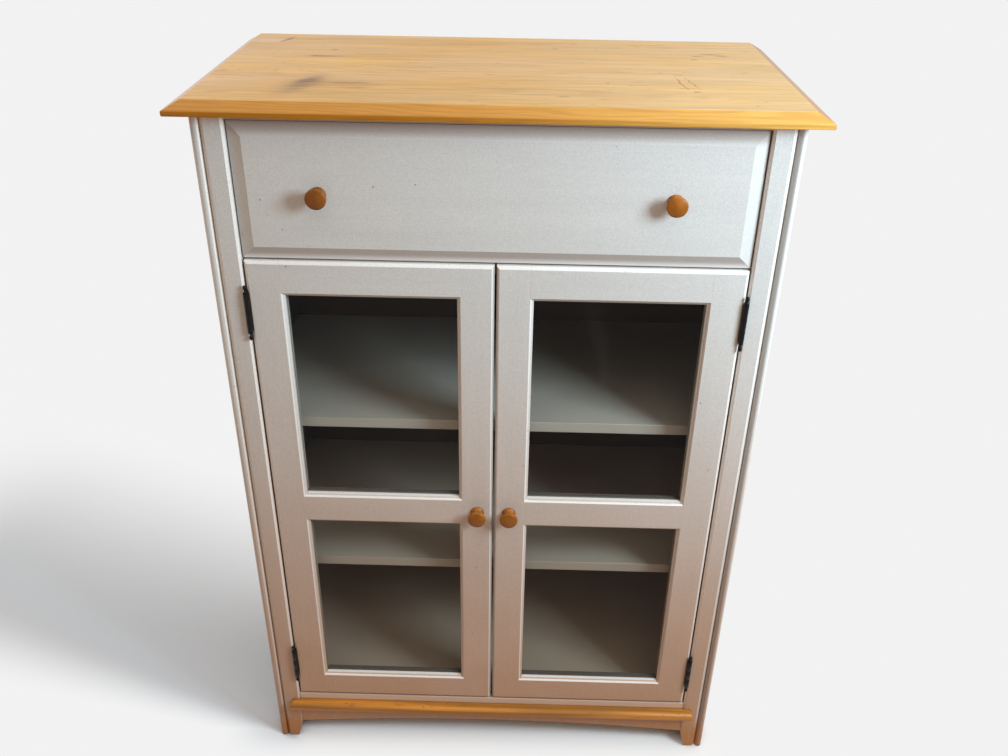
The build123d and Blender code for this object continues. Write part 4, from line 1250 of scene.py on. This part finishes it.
class CUPBOARD_OT_sheet_panels(bpy.types.Operator):
    """Finish the back panel and drawer bottom, and pin the back on"""

    bl_idname = "cupboard.sheet_panels"
    bl_label = "Sheet Panels"

    def execute(self, context):
        sheet = hardboard()
        for node in ("back_panel", "drawer_bottom"):
            give(node, sheet, 0.0)
        build = bmesh.new()
        for x, level in self.pin_places():
            lathe(build, PIN_DOME, 12, facing((x, BACK_PANEL[1][1], level), (0, 1, 0)))
        mesh = finished_mesh("back_panel_pins", build)
        new_piece("back_panel_pins", mesh, zinc_plate(), "carcass")
        return {"FINISHED"}

    @staticmethod
    def pin_places():
        """X and Z of the pins: in from the ends, and further in from top and bottom."""
        low, high = BACK_PANEL
        width, height = high[0] - low[0], high[2] - low[2]
        inset = 3 * MM
        spacing = sizes().panel_pin_spacing
        spots = []
        rows = max(2, round(height / spacing))
        for row in range(rows + 1):
            level = low[2] + inset + (height - 2 * inset) * row / rows
            spots += [(low[0] + inset, level), (high[0] - inset, level)]
        columns = max(2, round(width / spacing))
        for column in range(1, columns):
            x = low[0] + inset + (width - 2 * inset) * column / columns
            spots += [(x, low[2] + inset * 3), (x, high[2] - inset * 3)]
        return spots


class CUPBOARD_OT_glass(bpy.types.Operator):
    """Glaze the doors"""

    bl_idname = "cupboard.glass"
    bl_label = "Door Glass"

    def execute(self, context):
        glass = clear_float_glass()
        for side in SIDES:
            for level in ("upper", "lower"):
                give(f"{side}_door_{level}_glass", glass, 0.0)
        return {"FINISHED"}


class CUPBOARD_OT_knobs(bpy.types.Operator):
    """Turn the door and drawer knobs"""

    bl_idname = "cupboard.knobs"
    bl_label = "Turned Knobs"

    def execute(self, context):
        wood = stained_knob_wood()
        for side in SIDES:
            body = f"{side}_door"
            name = f"{body}_turned_knob"
            centre = middle(f"{body}_knob")
            knob = knob_mesh(name, [(centre.x, FACE, centre.z)])
            new_piece(name, knob, wood, body, (f"{body}_knob",))
        name = "drawer_turned_knobs"
        pair = knob_mesh(name, drawer_knob_places())
        new_piece(name, pair, wood, "drawer", ("drawer_knobs",))
        return {"FINISHED"}


class CUPBOARD_OT_hinges(bpy.types.Operator):
    """Finish the butt hinges and turn their ball-tipped pins"""

    bl_idname = "cupboard.hinges"
    bl_label = "Hinges"
    slot = "dark_bronze_hardware"

    def execute(self, context):
        metal = bronze_lacquered_steel()
        for node in ("frame_hinge_leaves", "left_door_hinge_leaves", "right_door_hinge_leaves"):
            give(node, metal, 0.15 * MM)
        build = bmesh.new()
        for x in (-HINGE_AXIS.x, HINGE_AXIS.x):
            for height in HINGE_HEIGHTS:
                add_pin(build, Vector((x, HINGE_AXIS.y, height)))
        mesh = finished_mesh("hinge_pins_ball_tipped", build)
        new_piece(mesh.name, mesh, metal, "carcass", ("hinge_pins",))
        head = cross_recess_head("leaf_screw", 3.2 * MM, 1.2 * MM, True)
        for side, way in SIDES.items():
            # the leaves' inner faces look at each other across the gap
            across = way * (HINGE_AXIS.x + LEAF_GAP / 2), way * (HINGE_AXIS.x - LEAF_GAP / 2)
            frame_screws = self.screws(f"{side}_hinge_screws_frame", head, across[0], -way)
            new_piece(frame_screws.name, frame_screws, metal, "carcass")
            door_screws = self.screws(f"{side}_hinge_screws_door", head, across[1], way)
            new_piece(door_screws.name, door_screws, metal, f"{side}_door")
        return {"FINISHED"}

    @staticmethod
    def screws(name, head, x, way):
        """Mesh of three countersunk screws in each leaf, their heads towards the gap."""
        depth, pitch = FACE + 11 * MM, 22 * MM
        seats = [
            facing((x, depth, height + offset), (way, 0, 0))
            for height in HINGE_HEIGHTS
            for offset in (-pitch, 0.0, pitch)
        ]
        return scattered(name, head, seats)


class CUPBOARD_OT_small_hardware(bpy.types.Operator):
    """Add knob screws, strike plates and the magnetic catches' screws"""

    bl_idname = "cupboard.small_hardware"
    bl_label = "Screws and Catches"
    slot = "zinc_plated_steel"

    def execute(self, context):
        steel = zinc_plate()
        pan = cross_recess_head("pan_head", sizes().screw_head / 2, 2.4 * MM, False)
        flat = cross_recess_head("flat_head", 2.8 * MM, 1.0 * MM, True)
        for side in SIDES:
            body = f"{side}_door"
            centre = middle(f"{body}_knob")
            build = bmesh.new()
            self.screw(build, pan, (centre.x, DOOR_BACK, centre.z))
            self.strike(build, flat, side)
            mesh = finished_mesh(f"{body}_strike_and_knob_screw", build)
            new_piece(mesh.name, mesh, steel, body, (f"{body}_fittings",))
        build = bmesh.new()
        for x, _, level in drawer_knob_places():
            self.screw(build, pan, (x, DRAWER_INSIDE, level))
        mesh = finished_mesh("drawer_knob_pan_screws", build)
        new_piece(mesh.name, mesh, steel, "drawer", ("drawer_knob_screws",))
        mesh = scattered("catch_screws", flat, self.catch_seats())
        new_piece("catch_screws", mesh, steel, "carcass")
        give("magnetic_catches", moulded_polypropylene(), sizes().board_arris)
        return {"FINISHED"}

    @staticmethod
    def screw(build, head, place):
        """Pan-head screw through the wood, its head at the back."""
        seat = facing(place, (0, 1, 0))
        add_copy(build, head, seat)
        radius, into_knob = 2 * MM, 13 * MM
        depth = place[1] - FACE + into_knob
        shank = [(0.0, -depth), (radius, -depth), (radius, 0.0), (0.0, 0.0)]
        lathe(build, shank, 16, seat)

    @staticmethod
    def strike(build, head, side):
        """Strike plate with two flush screws."""
        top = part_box(f"{side}_door_fittings")[1][2]
        left, right = sorted((SIDES[side] * 13 * MM, SIDES[side] * 51 * MM))
        low = (left, DOOR_BACK, top - 12 * MM)
        high = (right, DOOR_BACK + 1.5 * MM, top)
        rounded_plate(build, low, high, 2 * MM)
        for share in (0.2, 0.8):
            place = (left + (right - left) * share, high[1], (low[2] + high[2]) / 2)
            add_copy(build, head, facing(place, (0, 1, 0)))

    @staticmethod
    def catch_seats():
        """Seats of the screws under the ears of both magnetic catches."""
        low, high = CATCHES
        depth = (low[1] + high[1]) / 2 + 2 * MM
        ear = 4 * MM
        ears_apart = 54 * MM
        return [
            facing((way * x, depth, high[2] - 3 * MM), (0, 0, -1))
            for way in SIDES.values()
            for x in (high[0] - ear, high[0] - ear - ears_apart)
        ]


class CUPBOARD_OT_stage(bpy.types.Operator):
    """Set up the floor, the lamps, the world and the camera"""

    bl_idname = "cupboard.stage"
    bl_label = "Stage"

    def execute(self, context):
        scene = context.scene
        scene.view_settings.view_transform = "Standard"
        self.floor()
        self.world(scene)
        self.window()
        self.sky("overhead_sky", 1.1, "FFF2E4", (0.25, -0.3, 1.2))
        self.sky("room_fill", 0.7, "F4F6FF", (-1.0, 0.75, 0.45))
        self.camera(scene)
        return {"FINISHED"}

    @staticmethod
    def floor():
        """Pale floor that keeps the cupboard's shadow and runs past the horizon."""
        build = bmesh.new()
        bmesh.ops.create_grid(build, x_segments=24, y_segments=24, size=16.0)
        mesh = finished_mesh("studio_floor", build)
        floor = bpy.data.objects.new("studio_floor", mesh)
        bpy.context.scene.collection.objects.link(floor)
        mesh.materials.append(matt_studio_floor())

    @staticmethod
    def world(scene):
        """Warm even light from the room; plain and pale where it is seen."""
        world = bpy.data.worlds.new("studio_surround")
        world.use_nodes = True
        tree = world.node_tree
        tree.nodes.clear()
        room = {"Color": linear("FFE7D2"), "Strength": 0.325}
        pale = {"Color": linear("F1F1F1"), "Strength": 1.0}
        shaders = [add_node(tree, "ShaderNodeBackground", kind) for kind in (room, pale)]
        surround = add_node(
            tree, "ShaderNodeMixShader", {0: seen(tree), 1: shaders[0], 2: shaders[1]}
        )
        add_node(tree, "ShaderNodeOutputWorld", {"Surface": surround})
        scene.world = world

    @staticmethod
    def window():
        """Soft cool light from a window at the right, close to the cupboard."""
        light = bpy.data.lights.new("window_lamp", "AREA")
        light.shape = "SQUARE"
        light.size = 0.5
        light.energy = 26.5
        light.color = linear("D5ECFA")[:3]
        lamp = bpy.data.objects.new("window_lamp", light)
        lamp.location = (1.15, -0.95, 1.55)
        aim = Vector((0.0, -0.2, 0.9)) - lamp.location
        lamp.rotation_euler = aim.to_track_quat("-Z", "Y").to_euler()
        bpy.context.scene.collection.objects.link(lamp)

    @staticmethod
    def sky(name, energy, code, towards):
        """Very soft light from far away, the same everywhere."""
        light = bpy.data.lights.new(name, "SUN")
        light.energy = energy
        light.color = linear(code)[:3]
        light.angle = math.radians(70)
        lamp = bpy.data.objects.new(name, light)
        lamp.rotation_euler = Vector(towards).to_track_quat("Z", "Y").to_euler()
        bpy.context.scene.collection.objects.link(lamp)

    @staticmethod
    def camera(scene):
        """Camera looking down at the front from standing height."""
        lens = bpy.data.cameras.new("camera")
        lens.sensor_width = 36.0
        lens.lens = 34.05
        camera = bpy.data.objects.new("camera", lens)
        camera.location = (0.0311, -1.4205, 1.5161)
        turn = (
            Matrix.Rotation(math.radians(0.802), 4, "Z")
            @ Matrix.Rotation(math.radians(90 - 30.365), 4, "X")
            @ Matrix.Rotation(math.radians(0.944), 4, "Z")
        )
        camera.rotation_euler = turn.to_euler()
        scene.collection.objects.link(camera)
        scene.camera = camera


class CUPBOARD_PT_build(bpy.types.Panel):
    """Buttons that build the cupboard, and its sizes and colours"""

    bl_idname = "CUPBOARD_PT_build"
    bl_label = "Cupboard"
    bl_space_type = "VIEW_3D"
    bl_region_type = "UI"
    bl_category = "Cupboard"

    def draw(self, context):
        column = self.layout.column()
        for operator in OPERATORS:
            column.operator(operator.bl_idname)
        for group in (sizes(), colours()):
            for name in group.__annotations__:
                column.prop(group, name)


OPERATORS = (
    CUPBOARD_OT_top_board,
    CUPBOARD_OT_base_moulding,
    CUPBOARD_OT_painted_wood,
    CUPBOARD_OT_shelves,
    CUPBOARD_OT_bare_wood,
    CUPBOARD_OT_sheet_panels,
    CUPBOARD_OT_glass,
    CUPBOARD_OT_knobs,
    CUPBOARD_OT_hinges,
    CUPBOARD_OT_small_hardware,
    CUPBOARD_OT_stage,
)
CLASSES = (CupboardSizes, CupboardColours, *OPERATORS, CUPBOARD_PT_build)


def register():
    for cls in CLASSES:
        bpy.utils.register_class(cls)
    bpy.types.Scene.cupboard_sizes = bpy.props.PointerProperty(type=CupboardSizes)
    bpy.types.Scene.cupboard_colours = bpy.props.PointerProperty(type=CupboardColours)


def unregister():
    del bpy.types.Scene.cupboard_colours
    del bpy.types.Scene.cupboard_sizes
    for cls in reversed(CLASSES):
        bpy.utils.unregister_class(cls)


def main():
    register()
    for operator in OPERATORS:
        group, name = operator.bl_idname.split(".")
        getattr(getattr(bpy.ops, group), name)()


if __name__ == "__main__":
    main()
